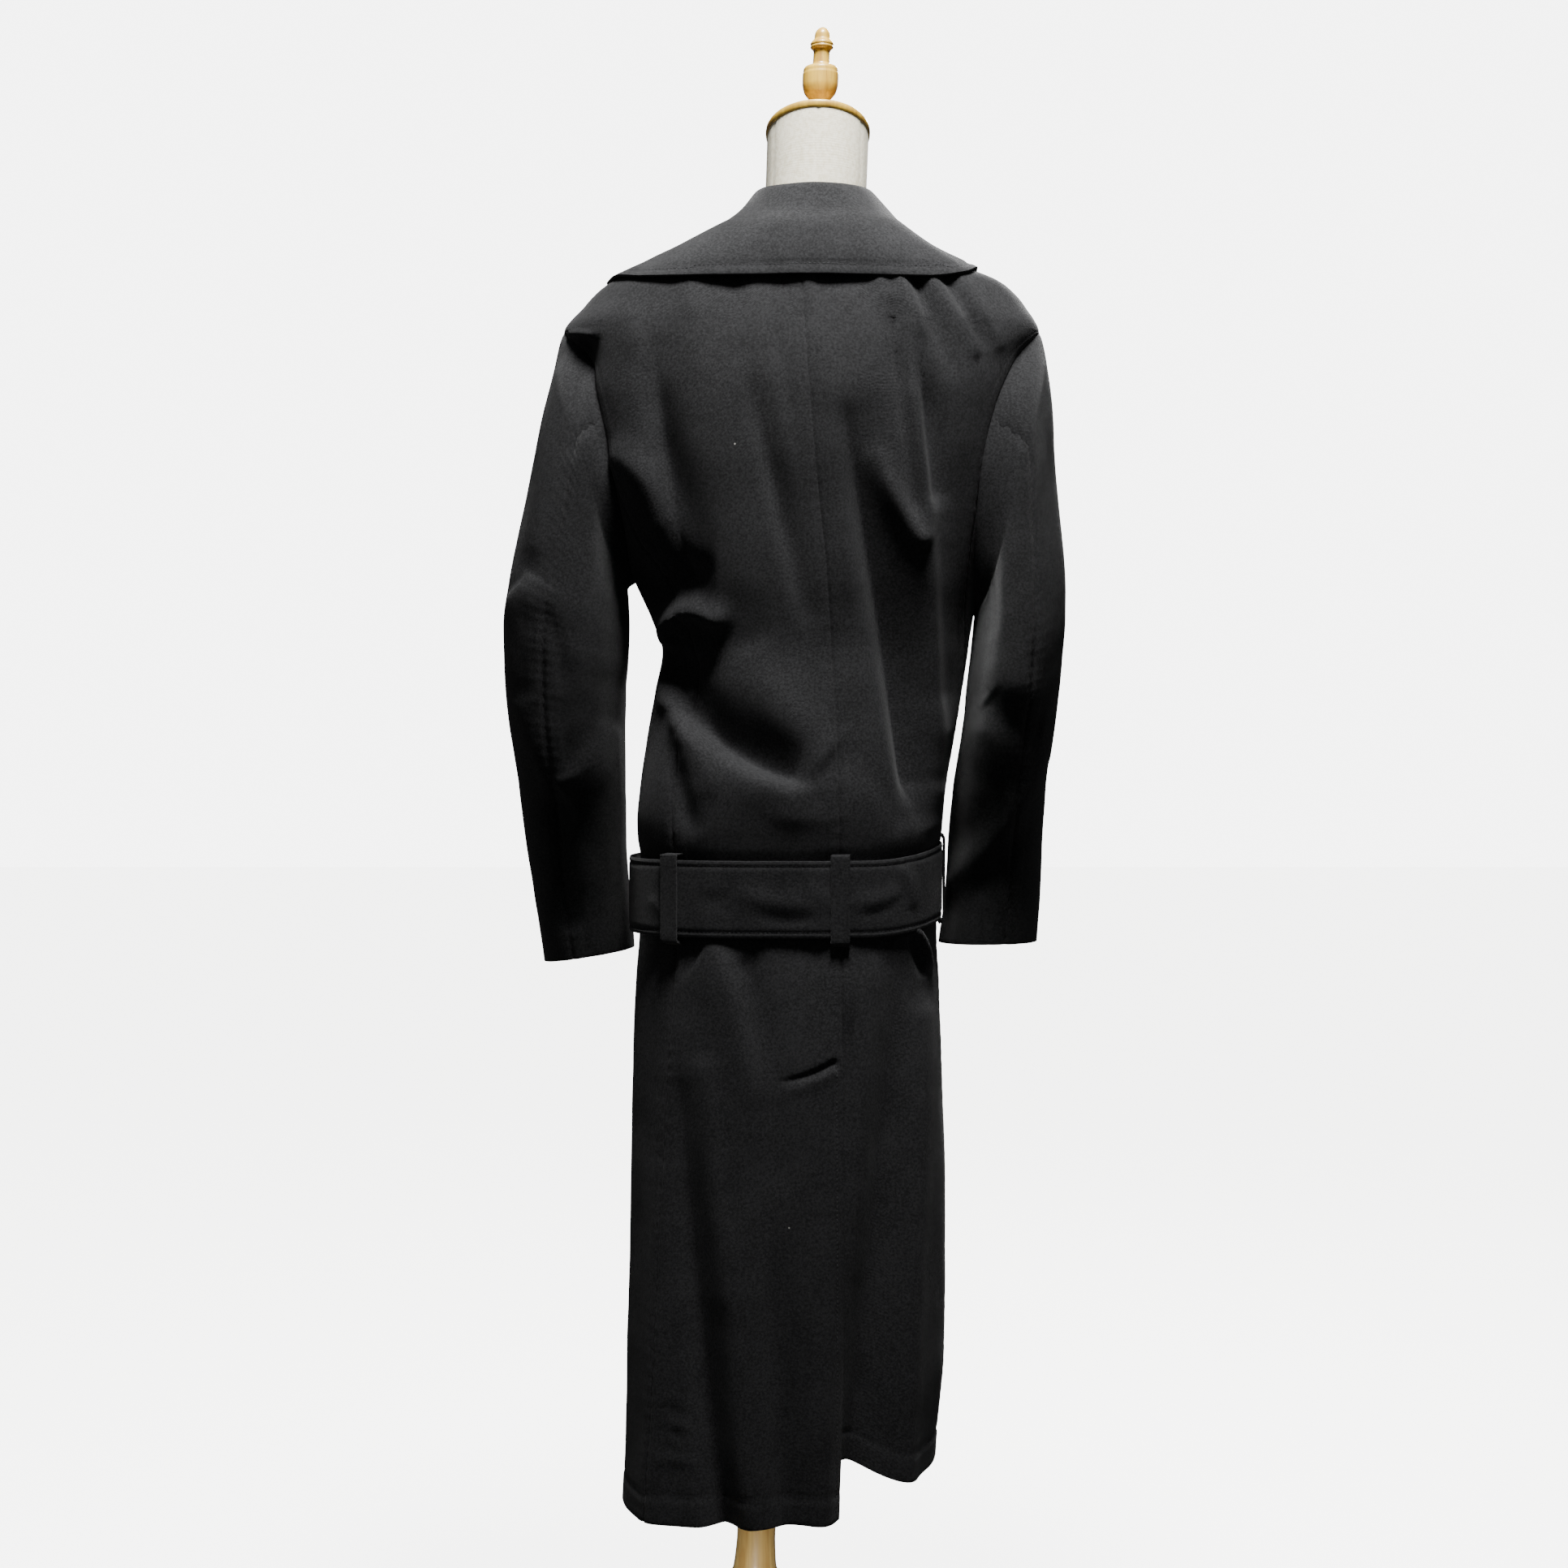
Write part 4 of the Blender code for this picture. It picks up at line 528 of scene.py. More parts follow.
def clothSheet(name, points, outward, wall, rim):
    # a grid primitive, laid over the points, with a metric UV map, a thickness and soft rims
    rows, cols = points.shape[:2]
    sheet = addPiece(name, bpy.ops.mesh.primitive_grid_add, x_subdivisions=cols - 1,
                     y_subdivisions=rows - 1, size=1)
    setPoints(sheet, points)
    across = np.linalg.norm(np.diff(points, axis=1), axis=2).cumsum(axis=1)
    across = np.concatenate([np.zeros((rows, 1)), across], axis=1)
    down = np.linalg.norm(np.diff(points, axis=0), axis=2).cumsum(axis=0)
    down = np.concatenate([np.zeros((1, cols)), down], axis=0)
    setUv(sheet, np.stack([across - across.mean(axis=1, keepdims=True), down], axis=-1))
    i, j = rows // 2, cols // 2
    if np.dot(np.array(sheet.data.polygons[i * (cols - 1) + j].normal), outward[i, j]) < 0:
        startEdit(sheet)
        bpy.ops.mesh.flip_normals()
        bpy.ops.object.mode_set(mode="OBJECT")
    thicken(sheet, wall, -1.0)
    roundEdges(sheet, rim, 2, 60)
    applyModifiers(sheet)
    bpy.ops.object.shade_smooth()
    return sheet


def layCloth(shape, points, normals, restsOn, stitches=(), wall=coat["wall"], rim=0.0008):
    sheet = clothSheet(shape["name"], points, normals, wall, rim)
    putPiece(sheet, "black_wool", wool, shape["node"])
    extras = [stitchRow(*row) for row in stitches]


print("making the cloth")


def setSockets(tree, node, sockets):
    # each socket takes a constant or another node's output
    for key, value in sockets.items():
        if isinstance(value, bpy.types.NodeSocket):
            tree.links.new(value, node.inputs[key])
        else:
            node.inputs[key].default_value = value


def newMaterial(name, look, draw=None):
    # draw returns the shader's sockets; constants go straight onto the shader
    material = bpy.data.materials.new(name)
    material.use_nodes = True
    tree = material.node_tree
    shader = tree.nodes["Principled BSDF"]
    setSockets(tree, shader, look["shader"])
    if draw:
        setSockets(tree, shader, draw(tree, look))
    return material


def addNode(tree, kind, out, sockets, **settings):
    node = tree.nodes.new("ShaderNode" + kind)
    for key, value in settings.items():
        setattr(node, key, value)
    setSockets(tree, node, sockets)
    return node.outputs[out]


def noise(tree, place, scale, detail, roughness=0.5, distortion=0.0):
    return addNode(tree, "TexNoise", "Fac", {"Vector": place, "Scale": scale, "Detail": detail,
                                             "Roughness": roughness, "Distortion": distortion})


def lines(tree, place, width, distortion, detail, axis="X"):
    return addNode(tree, "TexWave", "Fac", {
        "Vector": place, "Scale": 0.314 / width, "Distortion": distortion, "Detail": detail,
    }, bands_direction=axis)


def compute(tree, operation, *values):
    return addNode(tree, "Math", 0, dict(enumerate(values)), operation=operation)


def bump(tree, height, strength, distance):
    sockets = {"Height": height, "Strength": strength, "Distance": distance}
    return addNode(tree, "Bump", "Normal", sockets)


def tone(tree, value, look):
    # dark and light colour, each at its own value
    ramp = tree.nodes.new("ShaderNodeValToRGB")
    tree.links.new(value, ramp.inputs["Fac"])
    for element, place, key in zip(ramp.color_ramp.elements, look["stops"], ("dark", "light")):
        element.position, element.color = place, (*look[key], 1.0)
    return ramp.outputs["Color"]


woolLook = {
    "dark": (0.0034, 0.0034, 0.0038), "light": (0.0180, 0.0180, 0.0190), "stops": (0.40, 0.60),
    "lint": (0.30, 0.29, 0.27), "lintScale": 13.0, "lintSize": 0.0105,
    "twill": 0.00085, "twillTurn": 58, "twillShare": 0.30, "patchShare": 0.25,
    "fibre": (430.0, 3.0, 0.7), "patch": (22.0, 4.0, 0.6), "bump": (0.7, 0.0008),
    "shader": {"Roughness": 0.86, "Specular IOR Level": 0.22, "Sheen Weight": 0.09,
               "Sheen Roughness": 0.45},
}
threadLook = {**woolLook, "light": (0.020, 0.020, 0.022), "twill": 0.0004,
              "shader": {**woolLook["shader"], "Roughness": 0.6}}
linenLook = {
    "dark": (0.78, 0.71, 0.52), "light": (0.97, 0.92, 0.74), "stops": (0.36, 0.58),
    "thread": 0.0011, "slubs": {"X": (900, 60, 1), "Y": (60, 900, 1)},
    "flecks": (260.0, 4.0, 0.7), "bump": (0.25, 0.0003),
    "shader": {"Roughness": 0.92, "Specular IOR Level": 0.25, "Sheen Weight": 0.05},
}
honeyLook = {
    "dark": (0.36, 0.19, 0.022), "light": (0.66, 0.42, 0.050), "stops": (0.34, 0.64),
    "stretch": (104.0, 104.0, 9.1), "grain": (1.0, 6.0, 0.65, 0.5), "pores": (9.0, 2.0),
    "bump": (0.25, 0.0003),
    "shader": {"Roughness": 0.42, "Coat Weight": 0.5, "Coat Roughness": 0.16},
}
paleLook = {**honeyLook, "dark": (0.62, 0.36, 0.10), "light": (0.90, 0.62, 0.20),
            "shader": {**honeyLook["shader"], "Coat Weight": 0.25}}
hornLook = {
    "dark": (0.008, 0.006, 0.005), "light": (0.045, 0.028, 0.016), "stops": (0.35, 0.75),
    "swirl": (55.0, 5.0, 0.5, 1.6), "shader": {"Roughness": 0.24, "Coat Weight": 0.3},
}


def drawWool(tree, look):
    place = addNode(tree, "TexCoord", "Object", {})
    uv = addNode(tree, "TexCoord", "UV", {})
    fibre, patch = noise(tree, place, *look["fibre"]), noise(tree, place, *look["patch"])
    scaled = compute(tree, "MULTIPLY", fibre, 1 - look["patchShare"])
    colour = tone(tree, compute(tree, "MULTIPLY_ADD", patch, look["patchShare"], scaled), look)
    specks = addNode(tree, "TexVoronoi", "Distance", {"Vector": place, "Scale": look["lintScale"]})
    speck = compute(tree, "LESS_THAN", specks, look["lintSize"])
    mixed = {"Factor": speck, "A": colour, "B": (*look["lint"], 1.0)}
    colour = addNode(tree, "Mix", "Result", mixed, data_type="RGBA")
    turned = addNode(tree, "Mapping", "Vector",
                     {"Vector": uv, "Rotation": (0, 0, math.radians(look["twillTurn"]))})
    twill = lines(tree, turned, look["twill"], 1.2, 1.0)
    height = compute(tree, "MULTIPLY_ADD", twill, look["twillShare"], fibre)
    return {"Base Color": colour, "Normal": bump(tree, height, *look["bump"])}


def drawLinen(tree, look):
    place = addNode(tree, "TexCoord", "Object", {})
    uv = addNode(tree, "TexCoord", "UV", {})
    threads = []
    for axis, scale in look["slubs"].items():
        stretch = addNode(tree, "Mapping", "Vector", {"Vector": uv, "Scale": scale})
        threads.append(compute(tree, "MULTIPLY", lines(tree, uv, look["thread"], 0.6, 2.0, axis),
                               noise(tree, stretch, 1.0, 3.0)))
    weave = compute(tree, "ADD", *threads)
    return {"Base Color": tone(tree, noise(tree, place, *look["flecks"]), look),
            "Normal": bump(tree, weave, *look["bump"])}


def drawWood(tree, look):
    place = addNode(tree, "TexCoord", "Object", {})
    stretch = addNode(tree, "Mapping", "Vector", {"Vector": place, "Scale": look["stretch"]})
    return {"Base Color": tone(tree, noise(tree, stretch, *look["grain"]), look),
            "Normal": bump(tree, noise(tree, stretch, *look["pores"]), *look["bump"])}


def drawHorn(tree, look):
    place = addNode(tree, "TexCoord", "Object", {})
    return {"Base Color": tone(tree, noise(tree, place, *look["swirl"]), look)}


wool = newMaterial("blackWool", woolLook, drawWool)
thread = newMaterial("blackThread", threadLook, drawWool)
linen = newMaterial("creamLinen", linenLook, drawLinen)
honeyWood = newMaterial("honeyWood", honeyLook, drawWood)
paleWood = newMaterial("paleWood", paleLook, drawWood)
horn = newMaterial("darkHorn", hornLook, drawHorn)

stitch = {
    "length": 0.0032, "gap": 0.0010, "wide": 0.0004, "high": 0.0003, "sides": 6, "first": 0.15,
    # place along the stitch, size and lift of its rings
    "rings": ((0.0, 0.0, -0.3), (0.22, 0.9, 0.5), (0.78, 0.9, 0.5), (1.0, 0.0, -0.3)),
}


def stitchRow(name, path, normals):
    # one stitch, repeated along a path that lies on the cloth
    length = pathLength(path)
    pitch = stitch["length"] + stitch["gap"]
    count = int(length[-1] // pitch)
    starts = (np.arange(count) + stitch["first"]) * pitch
    ends = starts + stitch["length"]

    def at(table, s):
        return np.stack([np.interp(s, length, table[:, k]) for k in range(3)], axis=1)

    a, b = at(path, starts), at(path, ends)
    up = unit(at(normals, (starts + ends) / 2))
    aside = unit(np.cross(up, unit(b - a)))
    sides = stitch["sides"]
    turn = (np.arange(sides) * 2 * math.pi / sides)[None, :, None]
    rings = []
    for place, size, lift in stitch["rings"]:
        centre = (a + (b - a) * place + up * stitch["high"] * lift)[:, None]
        if size:
            centre = (centre + aside[:, None] * (np.cos(turn) * stitch["wide"] * size)
                      + up[:, None] * (np.sin(turn) * stitch["high"] * size))
        rings.append(centre)
    cloud = np.concatenate(rings, axis=1)
    each = cloud.shape[1]
    one = []
    for k in range(1, 1 + sides):
        n = k % sides + 1
        one += [(0, n, k), (k, n, sides + n, sides + k), (sides + k, sides + n, each - 1)]
    faces = [tuple(v + s * each for v in face) for s in range(count) for face in one]
    data = bpy.data.meshes.new(name)
    data.from_pydata(cloud.reshape(-1, 3).tolist(), [], faces)
    data.uv_layers.new(name="UVMap")
    data.shade_smooth()
    row = bpy.data.objects.new(name, data)
    bpy.context.scene.collection.objects.link(row)
    startEdit(row)
    endEdit()
    return putPiece(row, "black_wool", thread)


def centreShare(z):
    x = tableRead(coat["centreBack"], 1, z)
    tries = np.linspace(-0.22, 0.22, 441)
    table = [plainSurface(tries, np.full(len(tries), h))[0][:, 0] for h in np.atleast_1d(z)]
    return np.array([np.interp(value, row, tries) for value, row in zip(np.atleast_1d(x), table)])


def seamShare(key, side, z):
    return tableRead(coat["seams"], {"back": 1, "front": 3}[key] + (side < 0), z)


def panelEdge(key, side, z):
    # the side seam, and above it the armhole
    hole = coat["armhole"]
    rise = np.clip((z - hole["join"]) / (hole["tip"] - hole["join"]), 0, 1)
    wide = hole[key] * np.sqrt(1 - rise * rise)
    arm = side * (0.25 - wide if key == "back" else 0.25 + wide)
    return np.where(z > hole["join"], arm, seamShare(key, side, z))


def panelHeights(below, arc, above):
    hole = coat["armhole"]
    low = np.union1d(np.linspace(coat["hemLevel"], hole["join"], below),
                     np.linspace(*coat["wrinkle"], coat["wrinkleRows"]))
    turn = np.radians(np.linspace(90, 0, arc + 1)[1:])
    middle = hole["join"] + (hole["tip"] - hole["join"]) * np.cos(turn)
    top = np.linspace(hole["tip"], coat["neckSeam"], above + 1)[1:]
    return np.concatenate([low, middle, top])


def hemmed(side, share, heights):
    # the levels below the knee are drawn down or up to the hem's own line
    hem = tableRead(coat["hem"][side], 1, share)
    fall = 1 - np.clip((heights[:, None] - coat["hemLevel"]) / coat["hemFall"], 0, 1)
    return heights[:, None] + (hem - coat["hemLevel"]) * fall**1.5


def sideShape(shape, part, side, end=""):
    # the names of a left or right piece
    tag = sideNames[side]
    node = "_".join([part, tag.lower(), end.lower()]).strip("_")
    return {**shape, **shape.get(side, {}), "name": part + tag + end, "node": node}


backShape = {"cols": 96, "crowd": 0.62, "rows": (232, 26, 28), "held": "hung",
             "flat": (0.30, 1.28), "area": 0.262}


def makeBack(side):
    shape, vent = sideShape(backShape, "back", side), coat["vent"]
    z = panelHeights(*shape["rows"])
    around = girth(z)
    gap = coat["seamGap"] / 2 / around
    centre = centreShare(z)
    edge = panelEdge("back", side, z)
    start = centre + side * gap
    sunk = np.zeros(len(z))
    if side < 0:  # the right half runs on under the left one below the vent's top
        start = start + vent["underlap"] / around * smoothstep(*vent["laps"], -z)
        sunk = -vent["depth"] * smoothstep(*vent["sinks"], -z)
    across = crowded(shape["cols"], shape["crowd"])
    share = start[:, None] + (edge - side * gap - start)[:, None] * across
    level = hemmed(side, share, z)
    fromCentre = np.abs(share - start[:, None]) * around[:, None]
    fromSide = np.abs(edge[:, None] - share) * around[:, None]
    opened = smoothstep(*vent["opens"], -level)
    out = (sunk[:, None] * smoothstep(*vent["under"], share - centre[:, None])
           + seamRelief(fromCentre, level, 1.0) * (1 - opened) + seamRelief(fromSide, level, 2.0)
           + hemRelief(level))
    if side > 0:  # the vent's edge is turned under and pressed
        out = out + opened * vent["fold"] * (1 - smoothstep(*vent["turned"], fromCentre))
    points, normals = coatSurface(share, level, out)
    stitches = []
    if side > 0:
        rows = np.where(z < vent["top"])[0]
        col = np.argmin(np.abs(fromCentre[rows[0]] - vent["stitchIn"]))
        stitches.append(("ventStitching", points[rows, col], normals[rows, col]))
    layCloth(shape, points, normals, ["form_torso"], stitches)


panelShape = {"cols": 44, "crowd": 0.5, "rows": (205, 40), "held": "hung", "base": 1.095,
              1: {"flat": (0.22, 1.03), "area": 0.16}, -1: {"flat": (0.16, 1.03), "area": 0.08}}


def armholeMark(side, angle):
    hole = coat["armhole"]
    turn = np.radians(angle)
    wide = np.where(np.sin(turn) >= 0, hole["back"], hole["front"])
    above, below = hole["tip"] - hole["join"], hole["join"] - hole["foot"][side]
    rise = np.where(np.cos(turn) >= 0, above, below)
    return side * (0.25 - wide * np.sin(turn)), hole["join"] + rise * np.cos(turn)


def makeSide(side):
    shape, join = sideShape(panelShape, "side", side), coat["armhole"]["join"]
    base = shape["base"]
    z = np.concatenate([np.linspace(coat["hemLevel"], base, shape["rows"][0]),
                        np.linspace(base, join, shape["rows"][1])[1:]])
    around = girth(z)
    gap = coat["seamGap"] / 2 / around
    back = (seamShare("back", side, z) + side * gap)[:, None]
    front = (seamShare("front", side, z) - side * gap)[:, None]
    across = crowded(shape["cols"], shape["crowd"])
    topShare, topZ = armholeMark(side, 90 + 180 * across)
    rise = np.clip((z - base) / (join - base), 0, 1)[:, None]
    even = back + (front - back) * across
    spreadTop = (topShare - topShare[0]) / (topShare[-1] - topShare[0])
    share = even + ((back + (front - back) * spreadTop) - even) * rise
    level = np.where(rise > 0, base + (topZ - base) * rise, hemmed(side, share, z))
    out = (seamRelief(np.abs(share - back) * around[:, None], level, 3.0)
           + seamRelief(np.abs(front - share) * around[:, None], level, 4.0) + hemRelief(level))
    layCloth(shape, *coatSurface(share, level, out), ["form_torso"])


collar = {
    # share and height of the neck seam, stand, share and height of the collar's edge, and how far
    # the fall stands off the coat at its crown, upper and lower part and edge
    "rows": (
        (0, 1.505, 0.03, 0, 1.438, 0.0165, 0.018, 0.012, 0.0062),
        (0.06, 1.505, 0.03, 0.058, 1.438, 0.017, 0.018, 0.012, 0.0062),
        (0.115, 1.505, 0.031, 0.11, 1.438, 0.0175, 0.0175, 0.0115, 0.0062),
        (0.165, 1.505, 0.032, 0.16, 1.441, 0.0185, 0.0155, 0.0105, 0.0062),
        (0.21, 1.505, 0.032, 0.205, 1.446, 0.0195, 0.0125, 0.009, 0.0064),
        (0.262, 1.505, 0.03, 0.255, 1.447, 0.0195, 0.0115, 0.0088, 0.0066),
        (0.298, 1.5, 0.025, 0.281, 1.4445, 0.0175, 0.012, 0.01, 0.0085),
        (0.34, 1.482, 0.019, 0.308, 1.434, 0.014, 0.0115, 0.0105, 0.009),
        (0.384, 1.446, 0.013, 0.333, 1.403, 0.011, 0.0105, 0.01, 0.0085),
        (0.415, 1.385, 0.009, 0.351, 1.345, 0.0095, 0.009, 0.0085, 0.0075),
        (0.442, 1.295, 0.006, 0.37, 1.262, 0.009, 0.0085, 0.007, 0.006),
        (0.463, 1.2, 0.005, 0.4, 1.172, 0.0085, 0.008, 0.007, 0.0055),
        (0.481, 1.11, 0.004, 0.44, 1.09, 0.008, 0.0075, 0.0065, 0.0055),
        (0.491, 1.04, 0.003, 0.478, 1.026, 0.007, 0.007, 0.006, 0.0055),
    ),
    "stand": ((0.0, 0.0), (0.5, 0.0003), (0.9, 0.0012), (1.0, 0.0045), (0.88, 0.0090)),
    "topOut": 0.0130, "steps": (0.12, 0.34, 0.56, 0.78, 1.0), "marks": (0.0, 0.10, 0.40, 0.72, 1.0),
    "turn": 0.262, "rightLift": 0.011, "past": 0.004, "girthTo": 1.45, "foldsLeft": (1.0, 0.35),
    # shares where the right edge lifts and falls again, and where the seam runs past the edge
    "lifts": (0.10, 0.25), "falls": (0.33, 0.46), "pastFrom": (0.26, 0.34),
    "seamFrom": (0.24, 0.30),
    "stations": 250, "across": 60, "onFall": (0.35, 0.6), "wall": 0.0026, "rim": 0.0010,
    "stitchIn": 0.0095,
    "groove": (0.0011, 0.0016), "waves": ((21, 0.16, 0.0010), (22, 0.04, 0.00018)),
    "name": "collarShawl", "node": "collar", "held": "folded", "flat": (0.30, 1.30), "area": 0.19,
}
# its stations, from the left front round the neck to the right front
collarStations = ([(1, row) for row in reversed(collar["rows"])]
                  + [(-1, row) for row in collar["rows"][1:]])


def frontLift(share):
    # the right front stands off the left one where it lies over it
    lift = coat["wrapLift"] * smoothstep(*coat["wrapShares"], np.abs(share))
    return np.where(share < 0, lift, 0.0)


def frontEdge(side, z):
    k = 1 if side > 0 else 2
    wrapTop = coat["wrap"][-1]
    marks = [(row[1], row[0]) for row in collar["rows"] if row[1] < coat["neckSeam"]]
    marks += [(coat["neckSeam"], collar["turn"]), (wrapTop[0], wrapTop[k])]
    marks.sort()
    return side * np.where(z <= wrapTop[0], tableRead(coat["wrap"], k, z), tableRead(marks, 1, z))


frontShape = {"cols": 84, "crowd": 0.5, "rows": (210, 26, 28), "held": "hung",
              "flat": (0.30, 1.28), "area": 0.225, "stitchIn": 0.008, "stitchTop": 0.985}


def makeFront(side):
    shape = sideShape(frontShape, "front", side)
    z = panelHeights(*shape["rows"])
    around = girth(z)
    edge = (panelEdge("front", side, z) + side * coat["seamGap"] / 2 / around)[:, None]
    free = frontEdge(side, z)[:, None]
    share = edge + (free - edge) * crowded(shape["cols"], shape["crowd"])
    level = hemmed(side, share, z)
    out = (frontLift(share) + seamRelief(np.abs(share - edge) * around[:, None], level, 5.0)
           + hemRelief(level))
    points, normals = coatSurface(share, level, out)
    stitches = []
    if side < 0:
        rows = np.where(z < shape["stitchTop"])[0]
        fromFree = np.abs(free - share) * around[:, None]
        cols = np.argmin(np.abs(fromFree - shape["stitchIn"]), axis=1)[rows]
        stitches.append(("frontEdgeStitching", points[rows, cols], normals[rows, cols]))
    layCloth(shape, points, normals, ["form_torso"], stitches)


for side in sideNames:
    makeBack(side)
    makeSide(side)
    makeFront(side)
print("panels made")

sleeves = {
    # outer x, outer z, inner x, inner z, middle y, half depth of each ring
    1: metres((
        (225.3, 1364.8, 153.5, 1149.9, -3, 80), (235.7, 1316.7, 153, 1141, -2, 78),
        (248.8, 1252, 152.5, 1130, 0, 75), (260.2, 1203.6, 152, 1116, 3, 71),
        (269.5, 1155.5, 152.5, 1098, 5, 68), (275, 1115.6, 154, 1078, 5, 65),
        (274.7, 1075.9, 157, 1050, 2, 62), (271.7, 1028, 157.5, 1015, -5, 59),
        (266.4, 983.8, 156.5, 979, -15, 57), (261.5, 939.1, 156, 939.1, -28, 55),
        (256.1, 881.5, 158, 887, -44, 53), (251, 831.6, 156, 840, -57, 51),
        (243.8, 778.9, 152, 793, -66, 50),
    )),
    -1: metres((
        (-256.8, 1372.8, -188, 1122.6, -3, 80), (-262, 1332.7, -187, 1117, -2, 78),
        (-265.6, 1284, -186.2, 1109, 0, 75), (-269.8, 1235.5, -185, 1099, 3, 71),
        (-273.4, 1179.4, -183.5, 1085, 5, 68), (-275, 1123.6, -181.5, 1068, 5, 65),
        (-272.3, 1075.9, -179, 1045, 2, 62), (-269.3, 1036, -176.5, 1018, -5, 59),
        (-265.6, 995.9, -173, 990, -15, 57), (-261.5, 955.3, -169, 958, -28, 55),
        (-260.2, 906, -166, 912, -44, 53), (-258.4, 852.1, -163, 856, -57, 51),
        (-255.3, 799.5, -157, 798, -66, 50),
    )),
    # angles round the ring of the two seams, and the cloth
    "Top": {"angles": (-112.5, 75.0), "cols": 66,
            "held": "hung", "flat": (0.30, 0.64), "area": 0.122},
    "Under": {"angles": (75.0, 247.5), "cols": 60,
              "held": "hung", "flat": (0.26, 0.56), "area": 0.084},
    "square": 2.2, "girth": 0.30, "puff": 0.30, "crowd": 0.45, "rows": (22, 150), "slopeOver": 0.35,
    "inset": -0.0026,  # the sleeve starts under the body's edge
    "startOut": -0.0012,
    "waves": {1: ((9, 0.08, 0.0006), (11, 0.03, 0.00015)),
              -1: ((7, 0.08, 0.0006), (11, 0.03, 0.00015))},
    "seamWave": 0.05, "foldsFrom": 1.2, "wavesFrom": 0.6, "seamsFrom": 0.4,
}


def sleeveStart(side, angle):
    share, z = armholeMark(side, angle)
    points, normals = coatSurface(share, z, sleeves["startOut"])
    middle = plainSurface(side * 0.25, coat["armhole"]["join"])[0]
    return points + unit(middle - points) * sleeves["inset"], normals


def sleevePoints(side, angle, v):
    rings, square, over = sleeves[side], sleeves["square"], sleeves["slopeOver"]
    count = np.arange(1, len(rings) + 1)
    ca, sa = np.cos(np.radians(angle)), np.sin(np.radians(angle))
    reach = (np.abs(ca) ** square + np.abs(sa) ** square) ** (-1 / square)
    across, deep = ca * reach, sa * reach

    def ring(down):
        outX, outZ, inX, inZ, midY, half = [smoothRead(down, count, row) for row in zip(*rings)]
        return np.stack([(outX + inX) / 2 + across * (outX - inX) / 2, midY + half * deep,
                         (outZ + inZ) / 2 + across * (outZ - inZ) / 2], axis=-1)

    start, normals = sleeveStart(side, angle)
    first = ring(np.ones_like(v))
    slope = (ring(np.full_like(v, 1 + over)) - first) / over
    way = first - start
    leave = way + normals * np.linalg.norm(way, axis=-1, keepdims=True) * sleeves["puff"]
    head = hermite(np.clip(v, 0, 1)[..., None], start, leave, first, slope)
    return np.where(v[..., None] < 1, head, ring(np.maximum(v, 1)))


def makeSleeve(side, end):
    shape = sideShape(sleeves[end], "sleeve", side, end)
    first, last = shape["angles"]
    head, rest = sleeves["rows"]
    v = np.concatenate([np.linspace(0, 1, head), np.linspace(1, len(sleeves[side]), rest)[1:]])
    angle = first + (last - first) * crowded(shape["cols"], sleeves["crowd"])
    v, angle = np.meshgrid(v, angle, indexing="ij")
    around = sleeves["girth"]
    gap = math.degrees(coat["seamGap"] / 2 / (around / (2 * math.pi)))
    angle = angle + gap * (angle <= first) - gap * (angle >= last)
    points = sleevePoints(side, angle, v)
    normals = gridNormals(points)
    centre = (sleevePoints(side, 0 * v, v) + sleevePoints(side, 0 * v + 180, v)) / 2
    if ((points - centre) * normals).sum() < 0:
        normals = -normals
    along = v * sleeves["seamWave"]
    seams = (seamRelief(np.abs(angle - first) / 360 * around, along, 6.0)
             + seamRelief(np.abs(last - angle) / 360 * around, along, 7.0))
    raised = (foldHeights(points, normals) * smoothstep(0.0, sleeves["foldsFrom"], v)
              + waves(points, sleeves["waves"][side]) * smoothstep(0.0, sleeves["wavesFrom"], v)
              + seams * smoothstep(0.0, sleeves["seamsFrom"], v))
    points = points + normals * raised[..., None]
    layCloth(shape, points, normals, ["back_" + sideNames[side].lower()])


for side in sideNames:
    makeSleeve(side, "Top")
    makeSleeve(side, "Under")
print("sleeves made")


def collarRows():
    made = []
    for side, (share, z, stand, edgeShare, edgeZ, *outs) in collarStations:
        if side < 0:
            lift = smoothstep(*collar["lifts"], share) * (1 - smoothstep(*collar["falls"], share))
            edgeZ = edgeZ + collar["rightLift"] * lift
        clear = float(frontLift(np.array(side * share)))
        past = coat["seamGap"] + collar["past"] * smoothstep(*collar["pastFrom"], share)
        past = past * smoothstep(*collar["seamFrom"], share)
        seam = share + past / girth(min(z, collar["girthTo"]))
        marks = [(side * seam, z + coat["seamGap"] + stand * rise, clear + out)
                 for rise, out in collar["stand"]]
        for t in collar["steps"]:
            out = smoothRead(t, collar["marks"], [collar["topOut"], *outs])
            place = share + (edgeShare - share) * t
            marks.append((side * place, z + (edgeZ - z) * t, out + clear))
        marks = np.array(marks, float)
        points, normals = plainSurface(marks[:, 0], marks[:, 1])
        raised = foldHeights(points, normals) * np.linspace(*collar["foldsLeft"], len(points))
        made.append(points + normals * (raised + marks[:, 2])[:, None])
    return np.array(made)


def alongCurve(rows, count):
    # more stations on a curve through the given ones
    length = pathLength(rows[:, rows.shape[1] // 2])
    return smoothCurves(np.linspace(0, length[-1], count), length, rows)


edgeCrowd = 0.35


